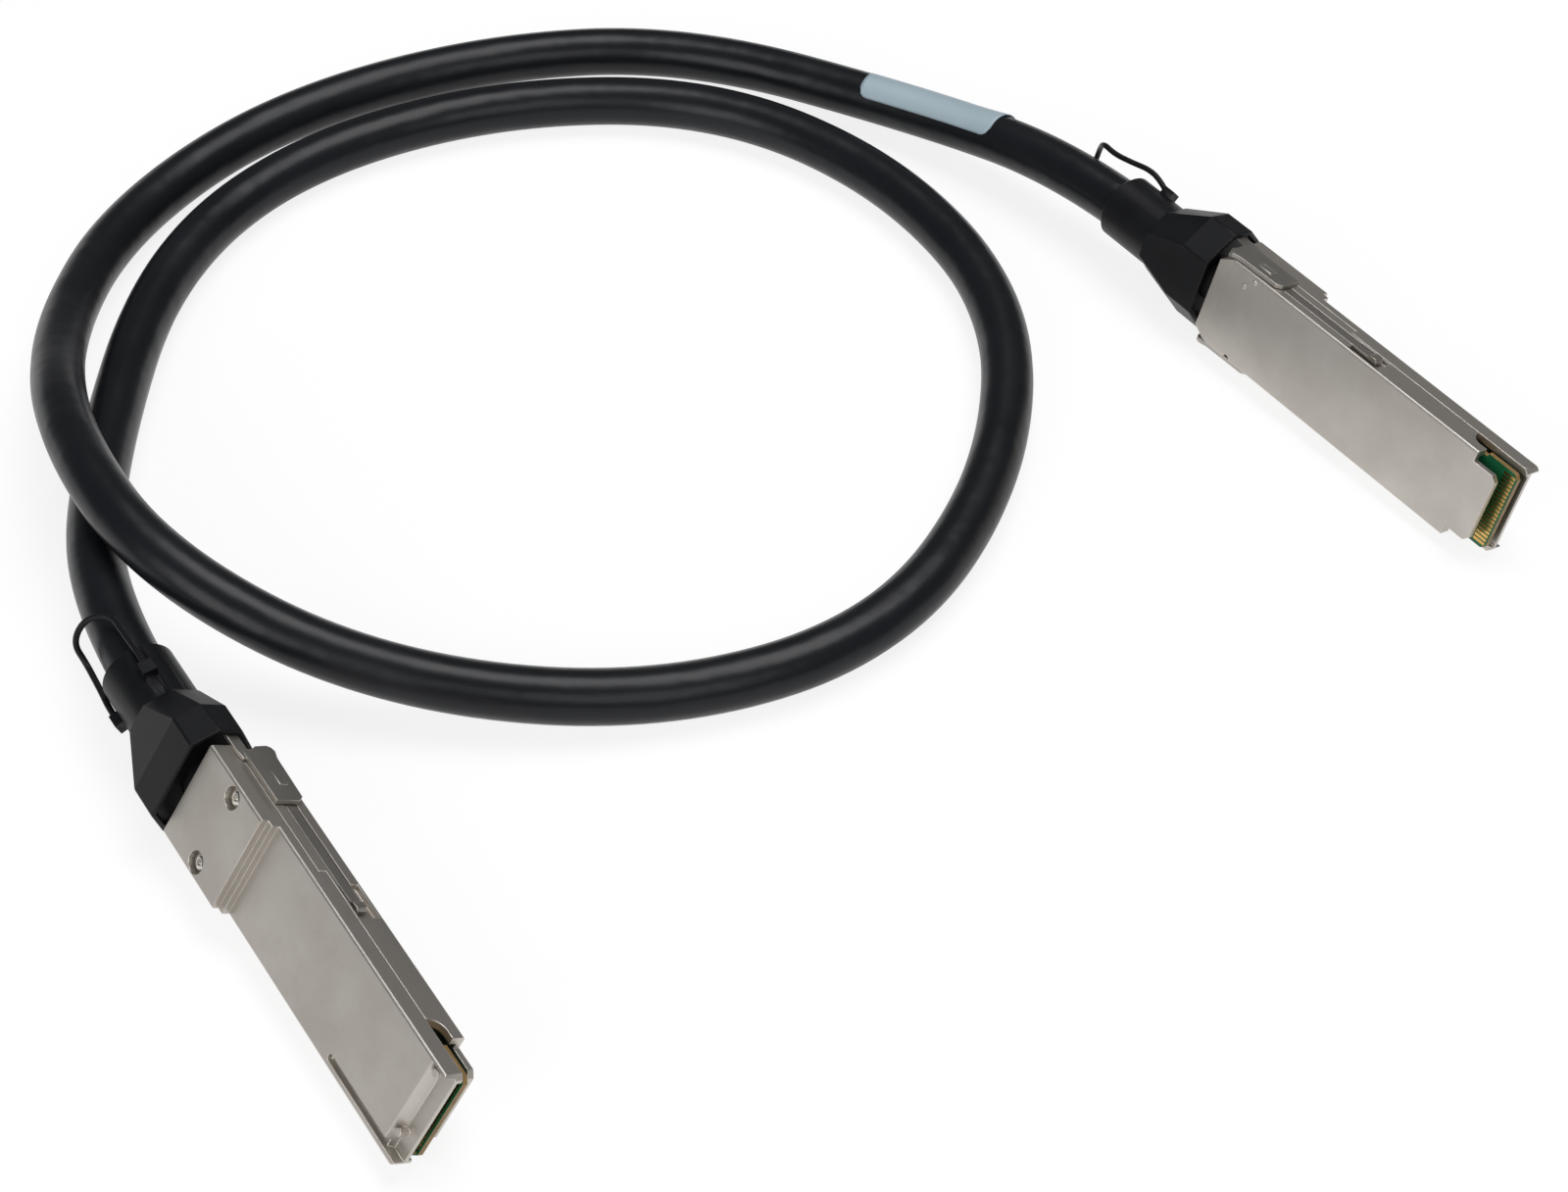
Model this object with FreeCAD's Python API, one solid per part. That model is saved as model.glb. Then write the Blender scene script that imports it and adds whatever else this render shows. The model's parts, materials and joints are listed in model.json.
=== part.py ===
import FreeCAD
import Part
import math
import os

# Direct attach copper cable: one thick twin-axial cable, coiled flat once and a bit
# more, with a metal plug at each end.  Millimetres, +Z up, the cable lying on z = 0.
#
# A plug is built in its own frame and placed twice.  In that frame x points out of the
# nose (the nose is x = 0), y points to the left, and z points out of the stepped side
# of the shell, whose thin nose part has its outer face at z = 0.

V = FreeCAD.Vector

# ---------------------------------------------------------------- driving sizes

# shell halves
BODY_WIDTH = 18.35          # the part that enters the cage
BODY_HEIGHT = 8.5
NOSE_LENGTH = 55.5          # nose to the step
REAR_LENGTH = 17.9          # raised block behind the step
REAR_RISE = 2.5
LEDGE_RISE = 1.2            # lower half of the double step
LEDGE_RUN = 1.3
SIDE_WALL = 1.3
ROOF_WALL = 1.5
FLOOR_WALL = 1.2
REAR_WALL = 2.0
SEAM_FRONT_DROP = 3.4       # top face down to the seam, along the nose
SEAM_REAR_DROP = 2.0        # the same, along the rear
SEAM_STEP_AHEAD = 11.5      # the seam's step, ahead of the raised block
EDGE_BEVEL = 0.3

# nose of the top shell
NOSE_CHAMFER = 0.76
RAMP_BACK = 4.0
RAMP_RUN = 1.0
LAND_DROP = 2.0
LIP_WALL = 0.7
RIM_LEFT = 0.5
RIM_RIGHT = 0.97
POST_RADIUS = 0.7
POST_BACK = 2.7
POST_INSET = 1.65
GROOVE_LENGTH = 21.5
GROOVE_WIDTH = 1.3
GROOVE_DEPTH = 0.95

# nose of the bottom shell
SIDE_END = 7.8              # the side walls stop this far behind the nose
TONGUE_BACK = 2.4
TONGUE_INSET = 2.1
TONGUE_CHAMFER = 1.0
NOTCH_START = 12.0
NOTCH_DEPTH = 2.6
BAND_WIDTH = 3.4            # shallow band across the rear of the flat face
BAND_DEPTH = 0.2
NECK_CHAMFER_Y = 1.8
NECK_CHAMFER_X = 3.0
KEY_NOTCH_AHEAD = 9.3       # ahead of the shell's rear face
KEY_NOTCH_RADIUS = 0.8
CAGE_POCKET_FRONT = 33.5    # pocket in each side wall for the cage's latch tongue
CAGE_POCKET_LENGTH = 7.4
CAGE_POCKET_TOP = 3.9
CAGE_POCKET_HEIGHT = 3.8
CAGE_POCKET_DEPTH = 0.9
DOWEL_RADIUS = 0.45
DOWEL_RISE = 0.25
DOWEL_INSET = 1.2
DOWEL_PITCH = 2.0

# screws that hold the halves together
SCREW_AHEAD = 9.9           # ahead of the shell's rear face
SCREW_SIDE_INSET = 2.425     # its axis, in from the side of the plug
SCREW_HEAD_RADIUS = 1.5
SCREW_HEAD_HEIGHT = 0.9
SCREW_SHANK_RADIUS = 0.8
SCREW_LENGTH = 7.0
SCREW_SINK = 1.6
SCREW_SOCKET = 0.65
SCREW_SOCKET_DEPTH = 0.5
SCREW_WELL_GAP = 0.4
SCREW_HOLE_GAP = 0.05
SCREW_POST_WALL = 1.5

# paddle card and what it carries
CARD_THICK = 1.0
CARD_UNDER = 5.2            # top face of the shell down to the card's underside
CARD_EDGE_INSET = 0.975      # from the side of the plug to the edge of the card
CARD_FRONT = 0.3
CARD_REAR = 38.0
CARD_CHAMFER = 0.9
CARD_SIDE_GAP = 0.275
CARD_FRONT_GAP = 0.3
CARD_LEDGE_WIDTH = 1.6
CARD_LEDGE_FRONT = 13.0
CARD_LEDGE_REAR = 36.0
FINGER_COUNT = 19
FINGER_PITCH = 0.8
FINGER_WIDTH = 0.54
FINGER_LENGTH = 2.6
FINGER_INSET = 0.4
FINGER_THICK = 0.06
CHIP_SIZE = 3.9
CHIP_HEIGHT = 1.1
CHIP_BACK = 22.0
CHIP_Y = 2.6
CAP_COUNT = 8
CAP_LENGTH = 1.0
CAP_WIDTH = 0.5
CAP_HEIGHT = 0.5
CAP_BACK = 9.2
CAP_EDGE_INSET = 1.0         # of the outer capacitors, from the edge of the card

# twin-axial pairs, ferrule and strain relief
PAIR_COLUMNS = 4
PAIR_WIDTH = 1.4
PAIR_THICK = 0.75
PAIR_PITCH_CABLE = 1.55
PAIR_LEDGE_GAP = 0.2         # outer pairs to the ledges that carry the card
PAIR_ROW_CABLE = 0.55
PAIR_FAN_AHEAD = 3.0        # straight out of the ferrule before the fan
PAIR_FAN_CLEAR = 2.5        # straight again behind the card
PAIR_ON_CARD = 4.0
FERRULE_LENGTH = 6.5
FERRULE_WALL = 0.45
RELIEF_FLANGE_RADIUS = 3.9
RELIEF_FLANGE_LENGTH = 1.2
RELIEF_GROOVE_RADIUS = 3.45
RELIEF_NECK_RADIUS = 4.2
RELIEF_NECK_LENGTH = 7.5
RELIEF_BODY_RADIUS = 5.3
RELIEF_BODY_LENGTH = 12.0
PORT_GAP = 0.1
SEAT_GAP = 0.1

# latch slider: bridge behind the shell, an ear and an arm along each side
TRAVEL = 2.0
SLIDE_GAP = 0.1
ARM_THICK = 0.5
ARM_HEIGHT = 2.0
ARM_TOP = 4.2
ARM_TIP = 35.0
ARM_RECESS_DEPTH = 0.65
ARM_RECESS_GAP = 0.15
TIP_RISE = 0.45
TIP_LENGTH = 2.2
EAR_FRONT_AHEAD = 14.1      # ahead of the shell's rear face
EAR_REAR_AHEAD = 0.9
EAR_TOP = 2.1
EAR_BOTTOM = 7.9
EAR_THICK = 0.85
EAR_KNOB = 0.5
EAR_CORNER = 1.3
EAR_NECK_LENGTH = 3.0
WEB_THICK = 0.6
WEB_TOP = 1.0
WEB_BOTTOM = 3.3
WEB_DROP = 0.5              # of the web's root in the ear
WEB_COVER = 0.5             # of the flange's flat side below the web
BRIDGE_THICK = 0.8
BRIDGE_BACK = 3.0           # behind the shell's rear face
TAB_THICK = 0.6
SPRING_AHEAD = 15.9         # its rear end, ahead of the shell's rear face
SPRING_LENGTH = 9.5
SPRING_RADIUS = 1.1
SPRING_WIRE = 0.45
SPRING_SIDE_INSET = 2.525    # its axis, in from the side of the plug
SPRING_STOP = 1.5
TROUGH_GAP = 0.05

# release sleeve and its pull loop
SLEEVE_GAP = 1.6            # dark gap between shell and sleeve
FLANGE_LENGTH = 6.5
FLANGE_RISE = 7.6           # above the cable's axis
FLANGE_DROP = 6.5           # below it
FLANGE_TOP_CUT_Y = 3.3
FLANGE_TOP_CUT_Z = 4.0
FLANGE_LOW_CUT_Y = 5.3
CUP_WALL = 0.8
BRIDGE_GAP = 0.1
TAPER_LENGTH = 9.0
TUBE_LENGTH = 12.5
TUBE_RADIUS = 6.4
TUBE_END_CHAMFER = 0.8
SLEEVE_CABLE_GAP = 0.5
SLEEVE_RELIEF_GAP = 0.35
LUG_WIDTH = 2.4
LUG_RISE = 1.4
LUG_ROOT = 0.3
LUG_LENGTH = 2.6
LUG_AHEAD = 5.4             # its rear face, ahead of the sleeve's rear end
LUG_ANGLE = 35.0            # up from the side of the tube
LOOP_RADIUS = 0.55
LOOP_TUBE_GAP = 0.15
LOOP_REACH = 19.4
LOOP_BOW = 2.4              # outward swing of each strand
LOOP_SAG = 0.6
LOOP_CABLE_GAP = 1.45

# cable
CABLE_DIAMETER = 9.8
ARC_SHARE = 0.45
LEAD_LENGTH = 24.0          # straight lead behind each strain relief
LABEL_BEND_INDEX = 19       # the bend, counted from 0, on which the label sits
LABEL_LENGTH = 30.0
LABEL_THICK = 0.25
LABEL_WRAP_ANGLE = 200.0    # of the cable's girth that the label covers
LABEL_EDGE_ANGLE = 38.0     # its edge past the top, towards the inside of the bend

# where each plug lies: nose point, then heading, nose dip and roll in degrees
PLUG_A_PLACE = (-58.02, -113.31)
PLUG_A_TURN = (-56.98, 1.81, 54.9)
PLUG_B_PLACE = (125.18, 17.49)
PLUG_B_TURN = (-53.06, 1.8, -105.85)

# route of the cable between the two leads, as it was laid down
ROUTE = [
    (-128.2, 30.0, 8.0),
    (-126.5, 87.0, 4.9),
    (-105.5, 121.5, 4.9),
    (-65.5, 141.5, 4.9),
    (-20.0, 142.5, 4.9),
    (16.5, 117.5, 4.9),
    (38.5, 77.0, 4.9),
    (34.5, 29.5, 4.9),
    (13.0, -10.0, 4.9),
    (-27.0, -26.0, 4.9),
    (-73.5, -23.5, 9.0),
    (-110.4, -9.2, 21.2),
    (-131.5, 23.0, 22.0),
    (-141.5, 63.5, 10.0),
    (-136.0, 103.5, 4.9),
    (-110.5, 136.5, 4.9),
    (-69.5, 157.0, 4.9),
    (-25.5, 161.0, 4.9),
    (24.0, 136.0, 6.5),
]

# ---------------------------------------------------------------- derived places

HALF_WIDTH = BODY_WIDTH / 2
FLOOR_Z = -BODY_HEIGHT
REAR_X = -(NOSE_LENGTH + REAR_LENGTH)
STEP_X = -NOSE_LENGTH
AXIS_Z = (REAR_RISE - BODY_HEIGHT) / 2
SEAM_STEP_X = STEP_X + SEAM_STEP_AHEAD
SCREW_X = REAR_X + SCREW_AHEAD
KEY_NOTCH_X = REAR_X + KEY_NOTCH_AHEAD
EAR_FRONT_X = REAR_X + EAR_FRONT_AHEAD
EAR_REAR_X = REAR_X + EAR_REAR_AHEAD
SPRING_REAR_X = REAR_X + SPRING_AHEAD
INNER_Y = HALF_WIDTH - SIDE_WALL
SPRING_Y = HALF_WIDTH - SPRING_SIDE_INSET
SCREW_Y = HALF_WIDTH - SCREW_SIDE_INSET
CARD_WIDTH = BODY_WIDTH - 2 * CARD_EDGE_INSET
CAP_SPAN = CARD_WIDTH - 2 * CAP_EDGE_INSET
PAIR_OUTER_Y = INNER_Y - CARD_SIDE_GAP - CARD_LEDGE_WIDTH - PAIR_LEDGE_GAP - PAIR_WIDTH / 2
PAIR_PITCH_CARD = 2 * PAIR_OUTER_Y / (PAIR_COLUMNS - 1)
CAVITY_REAR = REAR_X + REAR_WALL
PORT_RADIUS = RELIEF_GROOVE_RADIUS + PORT_GAP
CARD_Z0 = -CARD_UNDER
CARD_Z1 = CARD_Z0 + CARD_THICK
RELIEF_NECK_REAR = REAR_X - SEAT_GAP - RELIEF_NECK_LENGTH
RELIEF_REAR = RELIEF_NECK_REAR - RELIEF_BODY_LENGTH
FLANGE_FRONT = REAR_X - SLEEVE_GAP
FLANGE_REAR = FLANGE_FRONT - FLANGE_LENGTH
TAPER_REAR = FLANGE_REAR - TAPER_LENGTH
SLEEVE_REAR = TAPER_REAR - TUBE_LENGTH
FLANGE_HALF_WIDTH = HALF_WIDTH + SLIDE_GAP + WEB_THICK + BRIDGE_GAP + CUP_WALL
CUP_FLOOR = REAR_X - BRIDGE_BACK - BRIDGE_THICK
CABLE_RADIUS = CABLE_DIAMETER / 2
FAR = 40.0                  # reach of cutting tools past the piece they cut
OVER = 1.0                  # short overshoot of a cutting tool, or overlap before a fuse


# ---------------------------------------------------------------- small builders

def box(x0, x1, y0, y1, z0, z1):
    size = V(abs(x1 - x0), abs(y1 - y0), abs(z1 - z0))
    corner = V(min(x0, x1), min(y0, y1), min(z0, z1))
    return Part.makeBox(size.x, size.y, size.z, corner)


def prism(points, direction):
    """Extrude the closed outline through points by the vector direction."""
    outline = Part.makePolygon(points + [points[0]])
    return Part.Face(outline).extrude(direction)


def side_profile(points, y0, y1):
    """Extrude an outline drawn in x and z across the width, from y0 to y1."""
    return prism([V(x, y0, z) for x, z in points], V(0, y1 - y0, 0))


def plan_profile(points, z0, z1):
    """Extrude an outline drawn in x and y from z0 up to z1."""
    return prism([V(x, y, z0) for x, y in points], V(0, 0, z1 - z0))


def end_profile(points, x0, x1):
    """Extrude an outline drawn in y and z from x0 to x1."""
    return prism([V(x0, y, z) for y, z in points], V(x1 - x0, 0, 0))


def rod_x(x0, x1, y, z, radius):
    return Part.makeCylinder(radius, x1 - x0, V(x0, y, z), V(1, 0, 0))


def rod_z(x, y, z0, z1, radius):
    return Part.makeCylinder(radius, z1 - z0, V(x, y, z0), V(0, 0, 1))


def turned(points):
    """Revolve an outline of x and radius about the cable's axis in the plug."""
    outline = [V(x, 0, AXIS_Z + radius) for x, radius in points]
    face = Part.Face(Part.makePolygon(outline + [outline[0]]))
    return face.revolve(V(0, 0, AXIS_Z), V(1, 0, 0), 360)


def ring_wire(outline, x):
    """Closed wire across the plug at x through an outline of y and z."""
    points = [V(x, y, z) for y, z in outline]
    return Part.makePolygon(points + [points[0]])


def mirrored_y(shape):
    return shape.mirror(V(0, 0, 0), V(0, 1, 0))


def both_sides(shape):
    return [shape, mirrored_y(shape)]


def fused(shapes):
    return shapes[0].multiFuse(shapes[1:]).removeSplitter()


def cut(shape, tools):
    return shape.cut(tools).removeSplitter()


# ---------------------------------------------------------------- shell halves

def edge_bevels(x0, x1, z, outward):
    """Cutters that bevel the two long edges of a shell at height z."""
    reach = EDGE_BEVEL + 0.5
    corner = [
        (HALF_WIDTH + 0.5, z + 0.5 * outward),
        (HALF_WIDTH - EDGE_BEVEL - 0.5, z + 0.5 * outward),
        (HALF_WIDTH + 0.5, z - reach * outward),
    ]
    return both_sides(end_profile(corner, x0, x1))


def top_shell_block():
    """Stepped outer form of the top shell, down to its stepped seam."""
    ledge_x = STEP_X + LEDGE_RUN
    block = side_profile(
        [
            (0, -SEAM_FRONT_DROP),
            (0, 0),
            (ledge_x, 0),
            (ledge_x, LEDGE_RISE),
            (STEP_X, LEDGE_RISE),
            (STEP_X, REAR_RISE),
            (REAR_X, REAR_RISE),
            (REAR_X, -SEAM_REAR_DROP),
            (SEAM_STEP_X, -SEAM_REAR_DROP),
            (SEAM_STEP_X, -SEAM_FRONT_DROP),
        ],
        -HALF_WIDTH,
        HALF_WIDTH,
    )
    bevels = edge_bevels(ledge_x, 1, 0, 1) + edge_bevels(REAR_X - OVER, STEP_X, REAR_RISE, 1)
    return cut(block, bevels)


def nose_corner_cutters():
    corner = [
        (0.01, HALF_WIDTH - NOSE_CHAMFER),
        (0.01, HALF_WIDTH + 0.01),
        (-NOSE_CHAMFER, HALF_WIDTH + 0.01),
    ]
    return both_sides(plan_profile(corner, -FAR, FAR))


def land_cutter():
    """Ramp and sunk land behind the nose's front edge."""
    ramp = [
        (-RAMP_BACK, 1),
        (-RAMP_BACK, 0),
        (-RAMP_BACK + RAMP_RUN, -LAND_DROP),
        (1, -LAND_DROP),
        (1, 1),
    ]
    return side_profile(ramp, -HALF_WIDTH + RIM_RIGHT, HALF_WIDTH - RIM_LEFT)


def land_posts():
    y_left = HALF_WIDTH - POST_INSET
    y_right = -HALF_WIDTH + RIM_RIGHT + GROOVE_WIDTH + POST_INSET + POST_RADIUS
    top = -EDGE_BEVEL
    return [
        rod_z(-POST_BACK, y_left, -LAND_DROP - LIP_WALL / 2, top, POST_RADIUS),
        rod_z(-POST_BACK, y_right, -LAND_DROP - LIP_WALL / 2, top, POST_RADIUS),
    ]


def key_groove_cutter():
    y0 = -HALF_WIDTH + RIM_RIGHT
    radius = GROOVE_WIDTH / 2
    slot = box(-GROOVE_LENGTH + radius, 1, y0, y0 + GROOVE_WIDTH, -GROOVE_DEPTH, 1)
    end = rod_z(-GROOVE_LENGTH + radius, y0 + radius, -GROOVE_DEPTH, 1, radius)
    return slot.fuse(end)


def screw_places():
    return [(SCREW_X, SCREW_Y), (SCREW_X, -SCREW_Y)]


def screw_post(x, y, z0, z1):
    """Screw boss that also reaches the side wall."""
    radius = SCREW_SHANK_RADIUS + SCREW_POST_WALL
    side = math.copysign(INNER_Y + SIDE_WALL / 2, y)
    return [rod_z(x, y, z0, z1, radius), box(x - radius, x + radius, y, side, z0, z1)]


def top_shell():
    roof_rear = REAR_RISE - ROOF_WALL
    step_inside = STEP_X - ROOF_WALL
    cavity = side_profile(
        [
            (1, -FAR),
            (1, -LAND_DROP - LIP_WALL),
            (-RAMP_BACK - LIP_WALL, -LAND_DROP - LIP_WALL),
            (-RAMP_BACK - LIP_WALL, -ROOF_WALL),
            (step_inside, -ROOF_WALL),
            (step_inside, roof_rear),
            (CAVITY_REAR, roof_rear),
            (CAVITY_REAR, -FAR),
        ],
        -INNER_Y,
        INNER_Y,
    )
    shell = cut(top_shell_block(), [cavity, land_cutter(), key_groove_cutter()])
    posts = land_posts()
    for x, y in screw_places():
        posts += screw_post(x, y, -SEAM_REAR_DROP, roof_rear)
    shell = fused([shell] + posts)
    tools = nose_corner_cutters()
    tools.append(rod_x(REAR_X - OVER, CAVITY_REAR + OVER, 0, AXIS_Z, PORT_RADIUS))
    well = SCREW_HEAD_RADIUS + SCREW_WELL_GAP
    for x, y in screw_places():
        tools.append(rod_z(x, y, REAR_RISE - SCREW_SINK, REAR_RISE + OVER, well))
        tools.append(rod_z(x, y, -FAR, FAR, SCREW_SHANK_RADIUS + SCREW_HOLE_GAP))
    return cut(shell, tools)


def bottom_shell_block():
    """Side walls and floor, with the tongue under the card's edge."""
    walls = side_profile(
        [
            (REAR_X, FLOOR_Z),
            (-SIDE_END, FLOOR_Z),
            (-SIDE_END, -SEAM_FRONT_DROP),
            (SEAM_STEP_X, -SEAM_FRONT_DROP),
            (SEAM_STEP_X, -SEAM_REAR_DROP),
            (REAR_X, -SEAM_REAR_DROP),
        ],
        -HALF_WIDTH,
        HALF_WIDTH,
    )
    half = HALF_WIDTH - TONGUE_INSET
    tongue = plan_profile(
        [
            (-SIDE_END - OVER, -half),
            (-TONGUE_BACK - TONGUE_CHAMFER, -half),
            (-TONGUE_BACK, -half + TONGUE_CHAMFER),
            (-TONGUE_BACK, half - TONGUE_CHAMFER),
            (-TONGUE_BACK - TONGUE_CHAMFER, half),
            (-SIDE_END - OVER, half),
        ],
        FLOOR_Z,
        FLOOR_Z + FLOOR_WALL,
    )
    walls = cut(walls, edge_bevels(REAR_X - OVER, 0, FLOOR_Z, -1))
    return fused([walls, tongue])


def side_notch_cutter():
    """Curved drop of the side walls towards their front end."""
    centre = -NOTCH_START + NOTCH_DEPTH
    quarter = Part.makeCylinder(NOTCH_DEPTH, 2 * FAR, V(centre, -FAR, -SEAM_FRONT_DROP), V(0, 1, 0))
    rest = box(centre, 0, -FAR, FAR, -SEAM_FRONT_DROP - NOTCH_DEPTH, FAR)
    return quarter.fuse(rest)


def arm_recess_cutter():
    inner = HALF_WIDTH - ARM_RECESS_DEPTH
    front = -ARM_TIP + ARM_RECESS_GAP + SLIDE_GAP
    top = -ARM_TOP + ARM_RECESS_GAP
    bottom = -ARM_TOP - ARM_HEIGHT - ARM_RECESS_GAP
    return box(REAR_X - OVER, front, inner, FAR, bottom, top)


def tab_slot_cutter():
    front = spring_front() + TAB_THICK + SLIDE_GAP
    rear = spring_front() - TRAVEL - SLIDE_GAP
    top = -ARM_TOP + ARM_RECESS_GAP
    bottom = -ARM_TOP - ARM_HEIGHT - ARM_RECESS_GAP
    return box(rear, front, INNER_Y - OVER, HALF_WIDTH, bottom, top)


def cage_pocket_cutter():
    inner = HALF_WIDTH - CAGE_POCKET_DEPTH
    x1 = -CAGE_POCKET_FRONT
    return box(
        x1 - CAGE_POCKET_LENGTH,
        x1,
        inner,
        FAR,
        -CAGE_POCKET_TOP - CAGE_POCKET_HEIGHT,
        -CAGE_POCKET_TOP,
    )


def rear_neck_cutter():
    """Slanted rear corner of the bottom shell, below the seam."""
    corner = [
        (REAR_X - 0.01, HALF_WIDTH - NECK_CHAMFER_Y),
        (REAR_X - 0.01, HALF_WIDTH + 0.01),
        (REAR_X + NECK_CHAMFER_X, HALF_WIDTH + 0.01),
    ]
    return plan_profile(corner, -FAR, -ARM_TOP - ARM_HEIGHT - ARM_RECESS_GAP)


def spring_front():
    return SPRING_REAR_X + SPRING_LENGTH


def spring_z():
    return -ARM_TOP - ARM_HEIGHT / 2


def spring_seat():
    """Stop behind the return spring and the trough that it lies in."""
    floor = FLOOR_Z + FLOOR_WALL / 2
    y0 = SPRING_Y - SPRING_RADIUS
    top = spring_z() + SPRING_RADIUS
    trough_top = spring_z() - SPRING_RADIUS - TROUGH_GAP
    side = INNER_Y + SIDE_WALL / 2
    stop_rear = SPRING_REAR_X - SPRING_STOP
    stop = box(stop_rear, SPRING_REAR_X, y0, side, floor, top)
    trough = box(stop_rear, spring_front() + TAB_THICK, y0, side, floor, trough_top)
    return [stop, trough]


def card_ledge():
    y0 = card_inner_half() - CARD_LEDGE_WIDTH
    floor = FLOOR_Z + FLOOR_WALL / 2
    side = INNER_Y + SIDE_WALL / 2
    return box(-CARD_LEDGE_REAR, -CARD_LEDGE_FRONT, y0, side, floor, CARD_Z0)


def card_inner_half():
    return INNER_Y - CARD_SIDE_GAP


def dowel(x, y):
    """End of a pressed pin, just proud of the flat face."""
    return rod_z(x, y, FLOOR_Z - DOWEL_RISE, FLOOR_Z + FLOOR_WALL / 2, DOWEL_RADIUS)


def bottom_shell():
    cavity = box(CAVITY_REAR, FAR, -INNER_Y, INNER_Y, FLOOR_Z + FLOOR_WALL, FAR)
    shell = cut(bottom_shell_block(), [cavity, side_notch_cutter()])
    inside = []
    for x, y in screw_places():
        inside += screw_post(x, y, FLOOR_Z + FLOOR_WALL / 2, -SEAM_REAR_DROP)
    for piece in spring_seat() + [card_ledge()]:
        inside += both_sides(piece)
    shell = fused([shell] + inside)
    tools = [rod_x(REAR_X - OVER, CAVITY_REAR + OVER, 0, AXIS_Z, PORT_RADIUS)]
    sides = [arm_recess_cutter(), tab_slot_cutter(), cage_pocket_cutter(), rear_neck_cutter()]
    for piece in sides:
        tools += both_sides(piece)
    tools.append(box(REAR_X - OVER, REAR_X + BAND_WIDTH, -FAR, FAR, FLOOR_Z - OVER, FLOOR_Z + BAND_DEPTH))
    tools.append(rod_z(KEY_NOTCH_X, HALF_WIDTH, -FAR, FLOOR_Z + FLOOR_WALL, KEY_NOTCH_RADIUS))
    pilot_floor = REAR_RISE - SCREW_SINK - SCREW_LENGTH - SCREW_HOLE_GAP
    for x, y in screw_places():
        tools.append(rod_z(x, y, pilot_floor, FAR, SCREW_SHANK_RADIUS + SCREW_HOLE_GAP))
    shell = cut(shell, tools)
    side = -HALF_WIDTH + DOWEL_INSET
    pins = [dowel(KEY_NOTCH_X, side), dowel(KEY_NOTCH_X - DOWEL_PITCH, side + DOWEL_PITCH)]
    return fused([shell] + pins)


def shell_screws():
    screws = []
    seat = REAR_RISE - SCREW_SINK
    for x, y in screw_places():
        head = rod_z(x, y, seat, seat + SCREW_HEAD_HEIGHT, SCREW_HEAD_RADIUS)
        shank = rod_z(x, y, seat - SCREW_LENGTH, seat, SCREW_SHANK_RADIUS)
        corners = []
        for i in range(6):
            angle = math.radians(60 * i)
            corners.append((x + SCREW_SOCKET * math.cos(angle), y + SCREW_SOCKET * math.sin(angle)))
        top = seat + SCREW_HEAD_HEIGHT
        socket = plan_profile(corners, top - SCREW_SOCKET_DEPTH, top + OVER)
        screws.append(cut(fused([head, shank]), [socket]))
    return Part.makeCompound(screws)


# ---------------------------------------------------------------- card and wires

def paddle_card():
    """Edge card: full width ahead of the side walls, narrower between them."""
    wide = CARD_WIDTH / 2
    narrow = card_inner_half()
    shoulder = -SIDE_END + CARD_FRONT_GAP
    outline = [
        (-CARD_REAR, narrow),
        (shoulder, narrow),
        (shoulder, wide),
        (-CARD_FRONT - CARD_CHAMFER, wide),
        (-CARD_FRONT, wide - CARD_CHAMFER),
    ]
    outline += [(x, -y) for x, y in reversed(outline)]
    return plan_profile(outline, CARD_Z0, CARD_Z1)


def contact_fingers():
    """Gold edge contacts on both faces of the card."""
    front = -CARD_FRONT - FINGER_INSET
    fingers = []
    for i in range(FINGER_COUNT):
        y = (i - (FINGER_COUNT - 1) / 2) * FINGER_PITCH
        y0 = y - FINGER_WIDTH / 2
        y1 = y + FINGER_WIDTH / 2
        fingers.append(box(front - FINGER_LENGTH, front, y0, y1, CARD_Z1, CARD_Z1 + FINGER_THICK))
        fingers.append(box(front - FINGER_LENGTH, front, y0, y1, CARD_Z0 - FINGER_THICK, CARD_Z0))
    return Part.makeCompound(fingers)


def memory_chip():
    half = CHIP_SIZE / 2
    return box(
        -CHIP_BACK - half,
        -CHIP_BACK + half,
        CHIP_Y - half,
        CHIP_Y + half,
        CARD_Z1,
        CARD_Z1 + CHIP_HEIGHT,
    )


def coupling_capacitors():
    parts = []
    for i in range(CAP_COUNT):
        y = CAP_SPAN * (i / (CAP_COUNT - 1) - 0.5)
        half = CAP_WIDTH / 2
        parts.append(
            box(-CAP_BACK - CAP_LENGTH, -CAP_BACK, y - half, y + half, CARD_Z1, CARD_Z1 + CAP_HEIGHT)
        )
    return Part.makeCompound(parts)


def pair_section(x, y, z):
    """Flat section of one twin-axial pair across x, its round ends as slanted corners."""
    half = PAIR_WIDTH / 2
    lift = PAIR_THICK / 2
    corner = PAIR_THICK / 4
    quarter = [(half, lift - corner), (half - corner, lift)]
    outline = quarter + [(-a, b) for a, b in reversed(quarter)]
    outline += [(-a, -b) for a, b in outline]
    return ring_wire([(y + a, z + b) for a, b in outline], x)


def signal_pairs():
    """Eight pairs that leave the ferrule in two rows and fan out to the card."""
    lift = PAIR_THICK / 2
    card_rows = {1: CARD_Z1 + lift, -1: CARD_Z0 - lift}
    fan_rear = relief_front() + FERRULE_LENGTH + PAIR_FAN_AHEAD
    pairs = []
    for side in (1, -1):
        for i in range(PAIR_COLUMNS):
            step = i - (PAIR_COLUMNS - 1) / 2
            near = (step * PAIR_PITCH_CABLE, AXIS_Z + side * PAIR_ROW_CABLE)
            far = (step * PAIR_PITCH_CARD, card_rows[side])
            sections = [
                pair_section(relief_front(), *near),
                pair_section(fan_rear, *near),
                pair_section(-CARD_REAR - PAIR_FAN_CLEAR, *far),
                pair_section(-CARD_REAR + PAIR_ON_CARD, *far),
            ]
            pairs.append(Part.makeLoft(sections, True, True))
    return Part.makeCompound(pairs)


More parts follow.
